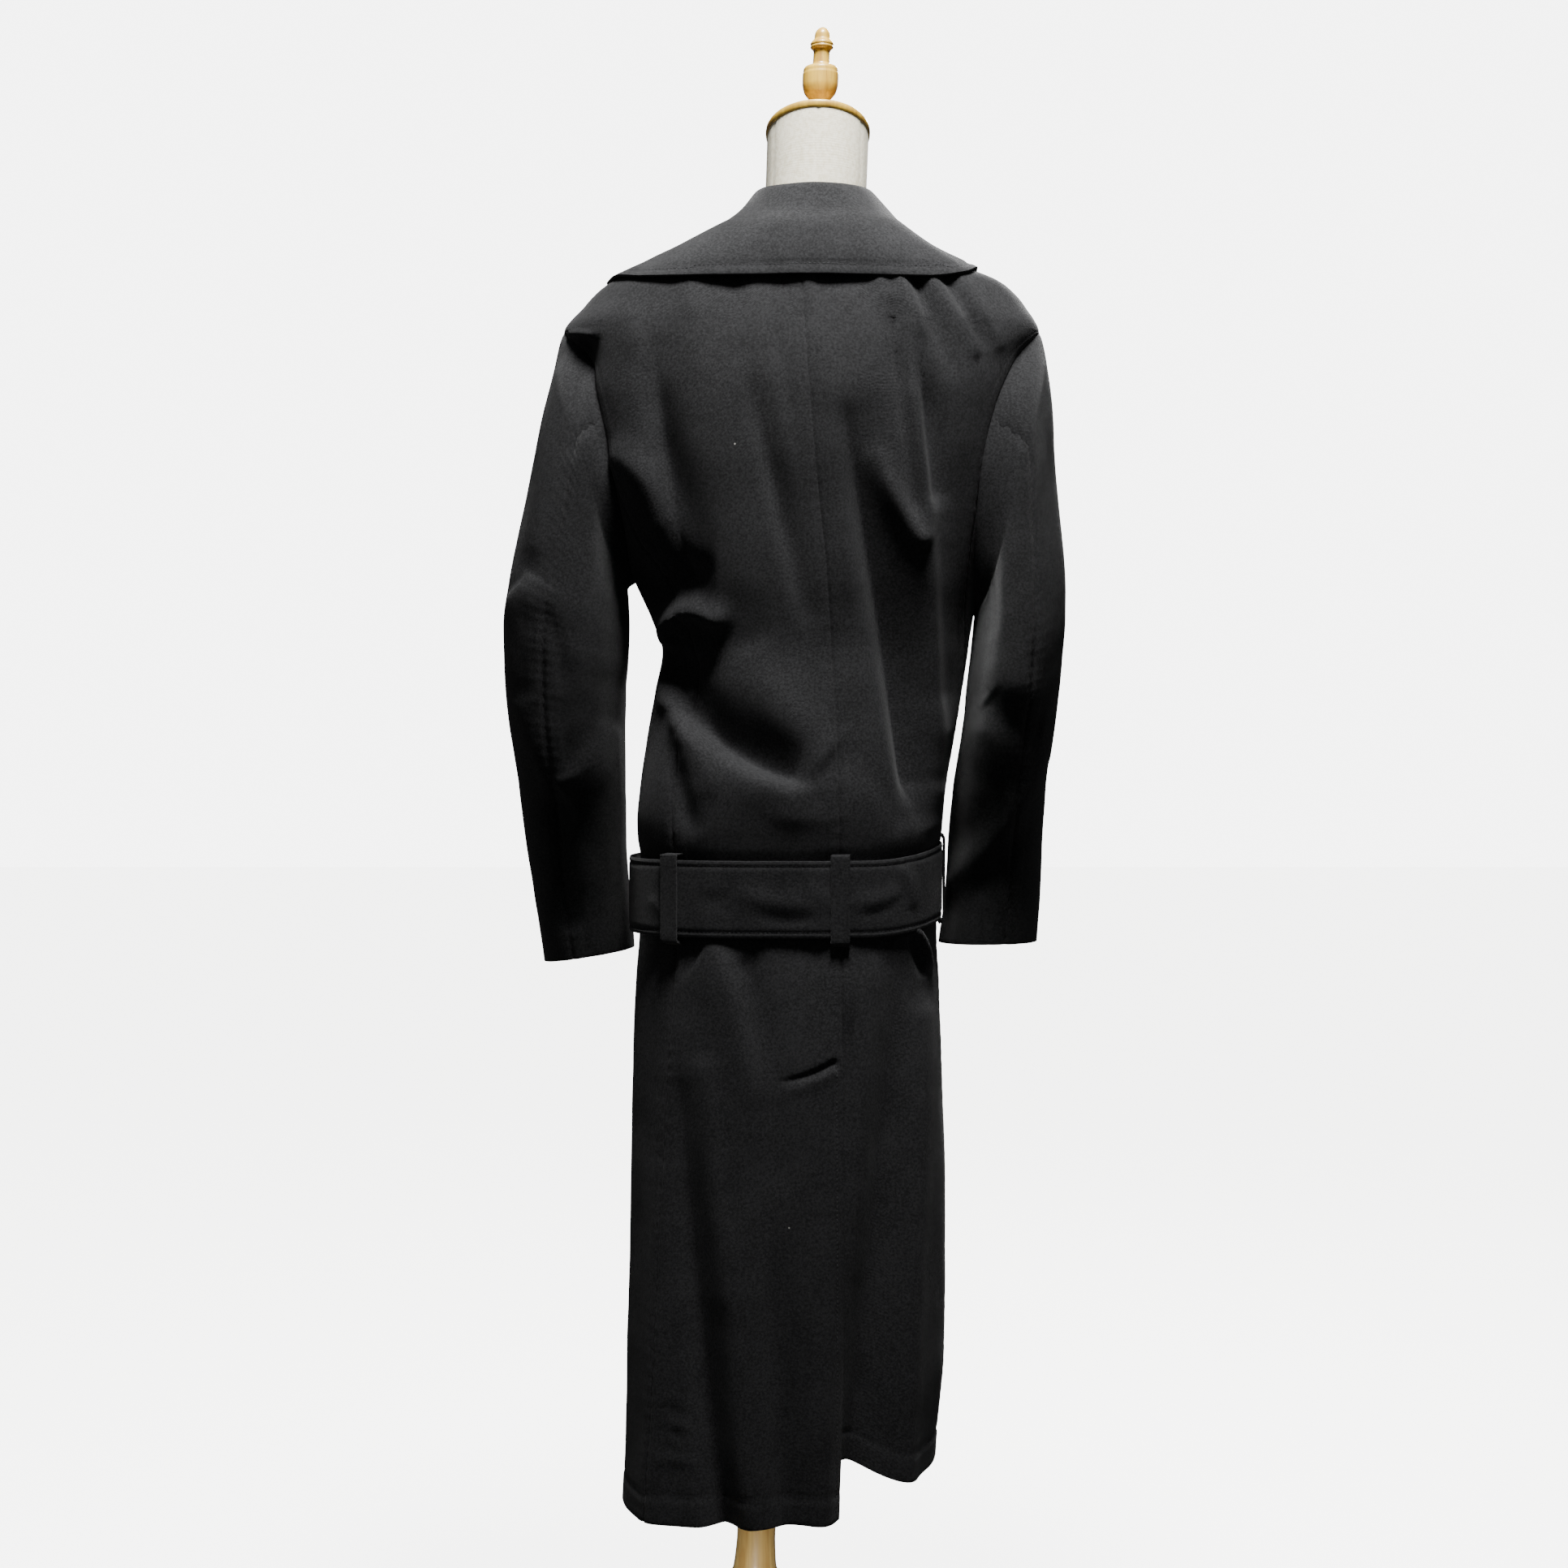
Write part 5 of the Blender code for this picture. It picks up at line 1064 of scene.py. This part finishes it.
def acrossCurve(rows, count):
    # a rounded curve through each station's points, with more points at its edge
    before, after = 2 * rows[:, :1] - rows[:, 1:2], 2 * rows[:, -1:] - rows[:, -2:-1]
    padded = np.concatenate([before, rows, after], axis=1)
    last = rows.shape[1] - 1
    t = np.linspace(0, 1, count)
    place = (t - edgeCrowd * np.sin(math.pi * t) * t * (1 - t)) * last
    i = np.minimum(place.astype(int), last - 1)
    f = (place - i)[None, :, None]
    p0, p1, p2, p3 = [padded[:, i + k] for k in range(4)]
    return 0.5 * (2 * p1 + (p2 - p0) * f + (2 * p0 - 5 * p1 + 4 * p2 - p3) * f**2
                  + (3 * p1 - p0 - 3 * p2 + p3) * f**3)


def makeCollar():
    rows = collarRows()
    left, right = [i for i, (_, row) in enumerate(collarStations) if row[0] == collar["turn"]]
    third = collar["stations"] // 3
    grid = np.concatenate([alongCurve(rows[:left + 1], third)[:-1],
                           alongCurve(rows[left:right + 1], third),
                           alongCurve(rows[right:], third)[1:]])
    points = acrossCurve(grid, collar["across"])
    normals = gridNormals(points)
    if normals[len(points) // 2, -1, 1] < 0:
        normals = -normals
    fromEdge = np.linalg.norm(np.diff(points, axis=1), axis=2)[:, ::-1].cumsum(axis=1)[:, ::-1]
    fromEdge = np.concatenate([fromEdge, np.zeros((len(points), 1))], axis=1)
    onFall = smoothstep(*collar["onFall"], np.linspace(0, 1, points.shape[1]))
    groove = dent(fromEdge - collar["stitchIn"], *collar["groove"])
    raised = (groove + waves(points, collar["waves"])) * onFall
    points = points + normals * raised[..., None]
    at = np.arange(3, len(points) - 3)
    cols = np.argmin(np.abs(fromEdge - collar["stitchIn"]), axis=1)[at]
    stitches = [("collarStitching", points[at, cols], normals[at, cols])]
    layCloth(collar, points, normals, ["back_left", "back_right"], stitches,
             collar["wall"], collar["rim"])


makeCollar()
print("collar made")

belt = {
    "width": 0.073, "tail": 0.15, "level": 0.853, "rise": 0.014, "riseWidth": 0.16,
    "section": (0.1500, -0.1535, 0.1130, -0.1160, 2.5),
    "start": 0.515, "out": 0.0020, "layer": 0.0030, "over": (0.93, 0.97),
    "barLift": 0.0028, "barSpan": (0.022, 0.060), "buckleShare": 0.490,
    "steps": 460, "across": 30, "crowd": 0.55, "stitchIn": 0.0055, "groove": (0.0010, 0.0014),
    "edgeRoll": 0.0007, "edgeWidth": 0.004, "wave": (31, 0.05, 0.00045), "waveLong": (1, 1, 0.4),
    "backFrom": 0.2,
    # soft creases of its back, as rows of the folds
    "creases": metres((
        (48, 862, 10, 850, -40, 848, 8, 10, 0.6, 1.8, 0.8, 0),
        (30, 840, 0, 834, -30, 836, 5, 7, -0.2, -1, -0.6, 0),
        (-15, 864, -35, 856, -48, 840, 6, 8, 0.2, 1, 1, 0),
        (126, 854, 116, 842, 104, 830, 6, 7, 0.6, 1.4, 0.6, 0),
        (-64, 856, -84, 850, -112, 860, 8, 9, 0.6, 1.8, 1, 0),
        (-72, 840, -90, 842, -116, 856, 5, 6, -0.2, -1, -0.8, 0),
        (-112, 884, -120, 866, -122, 842, 6, 7, 0.8, 2, 1, 0),
        (78, 860, 66, 852, 56, 860, 8, 8, -0.2, -1, -0.2, 0),
    ), plain=1),
    "name": "beltBand", "node": "belt", "held": "stretched", "flat": (0.073, 1.02), "area": None,
}
beltShares = np.linspace(-0.5, 0.5, 1441)
beltLine = np.stack(sectionPoints(belt["section"], beltShares), axis=1)
beltSlope = np.gradient(beltLine, axis=0)


def beltRise(share):
    # it sits higher on the right
    share = aroundFrom(share)
    fall = smoothstep(0.0, belt["riseWidth"], np.abs(np.abs(share) - 0.25))
    return belt["rise"] * (1 - fall) * (share < 0)


def beltPoints(share, height, out):
    x, y, slopeX, slopeY = [np.interp(aroundFrom(share), beltShares, row)
                            for row in (*beltLine.T, *beltSlope.T)]
    normal = unit(np.stack([-slopeY, slopeX, np.zeros_like(x)], axis=-1))
    points = np.stack([x, y, belt["level"] + beltRise(share) + height], axis=-1)
    return points + normal * out[..., None], normal


def makeBelt():
    around = float(girth(belt["level"]))
    half, (overFrom, overTo) = belt["width"] / 2, belt["over"]
    share = np.linspace(belt["start"], belt["start"] - 1 - belt["tail"] / around, belt["steps"])
    heights = half * (2 * crowded(belt["across"], belt["crowd"]) - 1)
    share, height = np.meshgrid(share, heights, indexing="ij")
    over = belt["start"] - share
    pastBar = np.abs((belt["buckleShare"] - 1.0) - share) * around
    onBar = belt["barLift"] * (1 - smoothstep(*belt["barSpan"], pastBar))
    out = (belt["out"] + belt["layer"] * smoothstep(overFrom, overTo, over)
           + np.where(over > overFrom, onBar, 0))
    points, normals = beltPoints(share, height, out)
    fromEdge = half - np.abs(height)
    creases = foldSum(points, foldLines(belt["creases"])) * (normals[..., 1] > belt["backFrom"])
    raised = (dent(fromEdge - belt["stitchIn"], *belt["groove"])
              - belt["edgeRoll"] * (1 - smoothstep(0.0, belt["edgeWidth"], fromEdge))
              + ripples(points * np.array(belt["waveLong"]), *belt["wave"]) + creases)
    points = points + normals * raised[..., None]
    stitches = []
    for name, sign in (("beltStitchingTop", 1), ("beltStitchingLow", -1)):
        k = np.argmin(np.abs(heights - sign * (half - belt["stitchIn"])))
        stitches.append((name, points[2:-2, k], normals[2:-2, k]))
    layCloth(belt, points, normals, ["loop_back", "loop_left", "loop_right"], stitches)


makeBelt()

loops = {
    "wide": 0.017, "steps": 9, "down": 60, "crowd": 0.3,
    # height, and how far out: off the belt, or off the coat where the height is past the belt
    "profile": ((0.0435, 0.0026), (0.0413, 0.0029), (0.0395, 0.0048), (0.0183, 0.0048),
                (-0.0183, 0.0048), (-0.0395, 0.0048), (-0.0415, 0.0029), (-0.0445, 0.0026)),
    "pastBelt": 0.0425, "held": "stretched", "flat": (0.017, 0.095), "area": None,
}


def makeLoop(place, share):
    half = loops["wide"] / 2 / float(girth(belt["level"]))
    shares = share + half * (2 * crowded(loops["steps"], loops["crowd"]) - 1)
    rows = []
    for height, out in loops["profile"]:
        if abs(height) > loops["pastBelt"]:
            points, normals = plainSurface(shares, belt["level"] + beltRise(shares) + height)
            rows.append(points + normals * (foldHeights(points, normals) + out)[:, None])
        else:
            rows.append(beltPoints(shares, height, np.full(len(shares), out))[0])
    grid = acrossCurve(np.stack(rows, axis=1), loops["down"])
    normals = gridNormals(grid)
    i, j = len(grid) // 2, grid.shape[1] // 2
    if np.dot(normals[i, j], grid[i, j] * np.array([1, 1, 0])) < 0:
        normals = -normals
    layCloth({**loops, "name": "loop" + place.capitalize(), "node": "loop_" + place},
             grid, normals, ["belt"])


makeLoop("back", float(centreShare(belt["level"])[0]))
makeLoop("left", float(seamShare("back", 1, belt["level"])))
makeLoop("right", float(seamShare("back", -1, belt["level"])))

buckle = {
    "frame": {"name": "buckleFrame", "size": (0.062, 0.095), "band": 0.0085,
              "thick": 0.0034, "out": 0.0103},
    "bar": {"name": "buckleBar", "size": (0.006, 0.091), "band": 0,
            "thick": 0.0022, "out": 0.0039},
    "cuts": 7, "round": 0.42,
}


def bentPlate(shape):
    # a plane, cut to a frame by an inset, thickened, rounded and laid round the belt
    plate = addPiece(shape["name"], bpy.ops.mesh.primitive_plane_add, size=1)
    bpy.ops.object.mode_set(mode="EDIT")
    bpy.ops.transform.resize(value=(*shape["size"], 1))
    if shape["band"]:
        bpy.ops.mesh.inset(thickness=shape["band"], depth=0)
        bpy.ops.mesh.delete(type="FACE")
    bpy.ops.mesh.select_all(action="SELECT")
    bpy.ops.mesh.subdivide(number_cuts=buckle["cuts"])
    bpy.ops.mesh.extrude_region_move(TRANSFORM_OT_translate={"value": (0, 0, shape["thick"])})
    endEdit()
    roundEdges(plate, shape["thick"] * buckle["round"], 4, 40)
    applyModifiers(plate)
    x, y, z = getPoints(plate).T
    share = belt["buckleShare"] + x / float(girth(belt["level"]))
    setPoints(plate, beltPoints(share, y, shape["out"] + z - shape["thick"] / 2)[0])
    return plate


def makeBuckle():
    ring, bar = bentPlate(buckle["frame"]), bentPlate(buckle["bar"])
    selectOnly(ring)
    bar.select_set(True)
    bpy.ops.object.join()
    smoothBelow(ring, 50)
    putPiece(ring, "buckle_horn", horn, "buckle")


makeBuckle()
print("belt made")

form = {
    # rows as the coat's sections
    "rows": metres((
        (760, 80, -78, 60, -58, 2.2), (764, 100, -100, 76, -73, 2.2),
        (776, 119, -122, 90, -86, 2.2), (800, 128, -134, 96, -91, 2.2),
        (850, 131, -139, 98, -93, 2.2), (930, 128, -141, 97, -88, 2.2),
        (1010, 112, -131, 85, -84, 2.2), (1090, 99, -121, 78, -86, 2.2),
        (1200, 124, -158, 93, -112, 2.3), (1300, 134, -172, 101, -112, 2.4),
        (1370, 152, -197, 98, -98, 2.4), (1415, 155, -200, 90, -86, 2.3),
        (1440, 145, -189, 85, -78, 2.2), (1456, 120, -166, 82, -73.5, 2.2),
    ), plain=1),
    "rest": (1.466, 1.474, 1.483, 1.491), "restGap": 0.0012,
    "chestIn": 0.0085, "chest": (0.28, 0.50),
    "neck": metres((
        (1502, 24, -84, 54, -49, 2), (1520, 19.5, -80, 53, -48, 2), (1545, 18, -81, 52, -48, 2),
        (1592, 16.5, -82.8, 51, -49, 2),
    ), plain=1),
    "neckLevels": (1.502, 1.510, 1.520, 1.545, 1.570, 1.592),
    "tilt": math.radians(18), "levelTo": 1.535, "top": 1.592, "sides": 128, "levels": 150,
    # shares of the princess seams and the centre seams, stitched flat
    "seams": (0.0, 0.5, 0.16, -0.16, 0.335, -0.335), "seam": (0.0006, 0.0020),
}
formShares = np.arange(form["sides"]) / form["sides"] - 0.5


def neckSlope(points):
    raised = points.copy()
    slope = math.tan(form["tilt"]) * smoothstep(form["levelTo"], form["top"], points[..., 2])
    raised[..., 2] += points[..., 1] * slope
    return raised


def denser(marks, count):
    # the marks, and even steps between the first and the last
    return np.unique(np.concatenate([np.linspace(marks[0], marks[-1], count), marks]))


def makeForm():
    rings = [ringPoints(row[1:], formShares, row[0]) for row in form["rows"]]
    atChest = smoothstep(*form["chest"], np.abs(formShares))
    deep = coat["wall"] + form["restGap"] + form["chestIn"] * atChest
    for z in form["rest"]:
        points, normals = plainSurface(formShares, z)
        rings.append(points - normals * deep[:, None])
    for z in form["neckLevels"]:
        rings.append(neckSlope(ringPoints(sectionAt(form["neck"], z), formShares, z)))
    rings = np.array(rings)
    heights = rings[:, :, 2].mean(axis=1)
    rows = smoothCurves(denser(heights, form["levels"]), heights, rings)
    wide = np.linalg.norm(np.roll(rows, -1, axis=1) - rows, axis=2).sum(axis=1)[:, None]
    sunk = sum(dent(aroundFrom(formShares - seam) * wide, *form["seam"]) for seam in form["seams"])
    outward = unit((rows - rows.mean(axis=1, keepdims=True)) * np.array([1, 1, 0]))
    rows = rows + outward * sunk[..., None]
    torso = addPiece("formTorso", bpy.ops.mesh.primitive_grid_add, x_subdivisions=form["sides"],
                     y_subdivisions=len(rows) - 1, size=1)
    setPoints(torso, np.concatenate([rows, rows[:, :1]], axis=1))
    u, v = np.linspace(0, 1, form["sides"] + 1)[None, :] * wide, pathLength(rows[:, 0])[:, None]
    setUv(torso, np.stack(np.broadcast_arrays(u, v), axis=-1))
    startEdit(torso)
    bpy.ops.mesh.remove_doubles(threshold=0.00002)
    bpy.ops.mesh.select_mode(type="EDGE")
    bpy.ops.mesh.select_all(action="DESELECT")
    bpy.ops.mesh.select_non_manifold(extend=False, use_wire=False, use_boundary=True)
    bpy.ops.mesh.edge_face_add()
    endEdit()
    bpy.ops.object.shade_smooth_by_angle(angle=math.radians(55))
    putPiece(torso, "linen", linen, "form_torso")


makeForm()
print("form made")

stand = {"leanFoot": 0.037, "lean": -0.0441, "sides": 72}


def leanX(z):
    return stand["leanFoot"] + stand["lean"] * z


def turnPiece(name, rows, material, node):
    # a circle, extruded and resized from row to row as on a lathe, with the stand's lean
    z, radius = rows[0]
    piece = addPiece(name, bpy.ops.mesh.primitive_circle_add, vertices=stand["sides"],
                     radius=radius, fill_type="NGON", location=(leanX(z), 0, z))
    bpy.ops.object.transform_apply(location=True, rotation=False, scale=False)
    startEdit(piece)
    for (z0, r0), (z1, r1) in zip(rows, rows[1:]):
        move = (leanX(z1) - leanX(z0), 0, z1 - z0)
        bpy.ops.mesh.extrude_region_move(TRANSFORM_OT_translate={"value": move})
        bpy.ops.transform.resize(value=(r1 / r0, r1 / r0, 1), center_override=(leanX(z1), 0, z1))
    endEdit()
    bpy.ops.object.shade_smooth_by_angle(angle=math.radians(42))
    return putPiece(piece, "turned_wood", material, node)


def profile(rows, count):
    # a smooth turned profile through the rows
    rows = np.array(rows)
    length = pathLength(rows)
    z, r = [smoothRead(denser(length, count), length, rows[:, k]) for k in (0, 1)]
    return np.stack([np.maximum.accumulate(z), r], axis=1)


finial = {
    "rows": metres((
        (1601, 12), (1608, 12), (1611, 9.2), (1626.5, 9), (1629, 11), (1635, 15.5), (1643, 17.4),
        (1652, 17.6), (1658, 16.8), (1660, 15), (1661.2, 10), (1664, 8.2), (1674, 8), (1677, 9.2),
        (1679, 11.2), (1682.5, 11.3), (1685, 9.8), (1687.5, 7.8), (1692, 7.4), (1696.5, 5),
        (1698.5, 2),
    )),
    "grooves": (1.6550, 1.6808), "groove": (0.0006, 0.0006), "up": 0.0007, "foot": (1.6015, 1.6110),
}


def makeFinial():
    rows = profile(finial["rows"], 90)
    rows[:, 1] += sum(dent(rows[:, 0] - z, *finial["groove"]) for z in finial["grooves"])
    rows[:, 0] += finial["up"]
    piece = turnPiece("finialKnob", rows.tolist(), honeyWood, "form_finial")
    points = getPoints(piece)  # its foot is cut to the cap's slope
    low = 1 - smoothstep(*finial["foot"], points[:, 2])
    points[:, 2] += points[:, 1] * math.tan(form["tilt"]) * low
    setPoints(piece, points)


# rise and growth of each ring
cap = {"step": 0.01, "rings": (
    (0.0003, 1.0), (0.0006, 1.015), (0.0014, 1.024), (0.0040, 1.030), (0.0062, 1.024),
    (0.0074, 1.008), (0.0081, 0.975), (0.0086, 0.90), (0.0091, 0.70), (0.0093, 0.40),
)}


def makeCap():
    # a circle, extruded ring by ring to a round-edged disc on the neck's sloping top
    section, sides = form["neck"][-1][1:], form["sides"]
    x, y = sectionPoints(section, formShares)
    middle = (section[0] + section[1]) / 2
    disc = addPiece("capDisc", bpy.ops.mesh.primitive_circle_add, vertices=sides, radius=1,
                    fill_type="NGON")
    startEdit(disc)
    for _ in cap["rings"][1:]:
        bpy.ops.mesh.extrude_region_move(TRANSFORM_OT_translate={"value": (0, 0, cap["step"])})
    bpy.ops.object.mode_set(mode="OBJECT")
    flat = getPoints(disc)
    ring = np.rint(flat[:, 2] / cap["step"]).astype(int)
    # the circle's corners take their place by their turn round the neck
    turn = np.arctan2(flat[:, 0], flat[:, 1]) / (2 * math.pi)
    k = np.rint((turn + 0.5) * sides).astype(int) % sides
    rise, grow = column(cap["rings"], 0)[ring], column(cap["rings"], 1)[ring]
    placed = [middle + (x[k] - middle) * grow, y[k] * grow, np.full(len(k), form["top"])]
    placed = neckSlope(np.stack(placed, axis=1))
    placed[:, 2] += rise
    setPoints(disc, placed)
    smoothBelow(disc, 45)
    putPiece(disc, "turned_wood", honeyWood, "form_cap")


makeFinial()
makeCap()

pole = {"rows": metres((
    (170.3, 22.6), (171.2, 23), (179, 23), (180.2, 22.2), (183, 21.4), (190, 20.5), (215, 19),
    (759.7, 19),
))}
turnPiece("poleTurned", profile(pole["rows"], 60).tolist(), paleWood, "stand_pole")

legs = {
    "top": ((0.0313, 0.156), (0.105, 0.170), (0.165, 0.130), (0.190, 0.020), (0.245, 0.014)),
    "under": ((0.0313, 0.096), (0.095, 0.112), (0.145, 0.085), (0.165, 0.016), (0.200, 0.0)),
    "reach": 0.245, "width": 0.028, "steps": 40, "rows": 6, "count": 4, "edge": 0.0045,
    "middle": 0.0295,
}


def makeLegs():
    steps = legs["steps"]
    t = np.linspace(0, 1, steps + 1)
    top, under = bezier(legs["top"], t), bezier(legs["under"], t)
    under = np.concatenate([under, [[legs["reach"], 0.0]]])
    top = np.concatenate([top, top[-1:]])
    top[-2] = (top[-3] + top[-1]) / 2
    leg = addPiece("legCurved1", bpy.ops.mesh.primitive_grid_add, x_subdivisions=steps + 1,
                   y_subdivisions=legs["rows"], size=1)
    share = np.linspace(0, 1, legs["rows"] + 1)[:, None, None]
    side = under[None] * (1 - share) + top[None] * share
    setPoints(leg, np.stack([side[..., 0], np.zeros(side.shape[:2]), side[..., 1]], axis=-1))
    thicken(leg, legs["width"], 0.0)
    roundEdges(leg, legs["edge"], 3, 50)
    applyModifiers(leg)
    smoothBelow(leg, 40)
    made = [leg]
    for k in range(1, legs["count"]):
        twin = leg.copy()
        twin.data = leg.data.copy()
        twin.name = twin.data.name = f"legCurved{k + 1}"
        bpy.context.scene.collection.objects.link(twin)
        made.append(twin)
    for k, piece in enumerate(made):
        piece.rotation_euler = (0, 0, math.radians(45 + 90 * k))
        piece.location = (legs["middle"], 0, 0)
        selectOnly(piece)
        bpy.ops.object.transform_apply(location=True, rotation=True, scale=True)
        putPiece(piece, "turned_wood", paleWood, f"stand_leg_{k + 1}")


makeLegs()
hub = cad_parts["stand_hub"]
hub.data.materials.clear()
hub.data.materials.append(paleWood)
print("stand made")

studio = {
    "floor": 30.0, "floorColour": (0.86, 0.86, 0.85, 1), "floorGlow": 6.2,
    # strength of the room as the camera sees it and as it lights the object
    "sky": (1.0, 1.0, 1.0, 1), "seen": 6.0, "fill": 0.10,
    # power, size, place and target of each soft lamp
    "lamps": {
        "keyLamp": (90.0, 0.42, (-0.11, 0.52, 2.62), (-0.02, 0.08, 1.05)),
        "frontLamp": (60.0, 0.60, (-0.70, -1.90, 2.50), (0, 0, 1.0)),
    },
    # a narrow lamp on the pole and the legs: power, cone in degrees, place and target
    "footLamp": (120.0, 6.4, (0.02, 2.10, 0.150), (0.03, 0.0, 0.125)),
    "footBlend": 0.25, "footSoft": 0.05,
}
view = {"place": (0.0, 2.3, 1.012), "target": (0.0, 0.0, 0.9592), "lens": 53.6, "sensor": 36.0}


def addAimed(name, add, place, target, **settings):
    # a lamp or camera that looks from its place to the target
    thing = addPiece(name, add, location=place, **settings)
    thing.rotation_euler = (Vector(target) - Vector(place)).to_track_quat("-Z", "Y").to_euler()
    return thing


def makeStudio():
    floor = addPiece("paleFloor", bpy.ops.mesh.primitive_plane_add, size=studio["floor"])
    paper = newMaterial("palePaper", {"shader": {
        "Base Color": studio["floorColour"], "Roughness": 0.9,
        "Emission Color": studio["floorColour"], "Emission Strength": studio["floorGlow"],
    }})
    floor.data.materials.append(paper)
    floor.visible_diffuse = floor.visible_glossy = False  # it throws no light up onto the coat
    world = bpy.data.worlds.new("paleRoom")
    bpy.context.scene.world = world
    world.use_nodes = True
    tree = world.node_tree
    seen = tree.nodes["Background"]
    setSockets(tree, seen, {"Color": studio["sky"], "Strength": studio["seen"]})
    lit = addNode(tree, "Background", 0, {"Color": studio["sky"], "Strength": studio["fill"]})
    byCamera = addNode(tree, "LightPath", "Is Camera Ray", {})
    mix = addNode(tree, "MixShader", 0, {"Fac": byCamera, 1: lit, 2: seen.outputs[0]})
    setSockets(tree, tree.nodes["World Output"], {"Surface": mix})
    for name, (power, size, place, target) in studio["lamps"].items():
        lamp = addAimed(name, bpy.ops.object.light_add, place, target, type="AREA")
        lamp.data.shape, lamp.data.energy, lamp.data.size = "DISK", power, size
        lamp.visible_camera = False
    power, cone, place, target = studio["footLamp"]
    light = addAimed("footLamp", bpy.ops.object.light_add, place, target, type="SPOT").data
    light.energy, light.spot_size = power, math.radians(cone)
    light.spot_blend, light.shadow_soft_size = studio["footBlend"], studio["footSoft"]


def makeCamera():
    camera = addAimed("photoCamera", bpy.ops.object.camera_add, view["place"], view["target"])
    camera.data.lens, camera.data.sensor_width = view["lens"], view["sensor"]
    bpy.context.scene.camera = camera


makeStudio()
makeCamera()
print("studio made")

triangles = {name: sum(len(face.vertices) - 2 for face in piece.data.polygons)
             for name, piece in pieceList.items()}
print("triangles", sum(triangles.values()), max(triangles.items(), key=lambda item: item[1]))
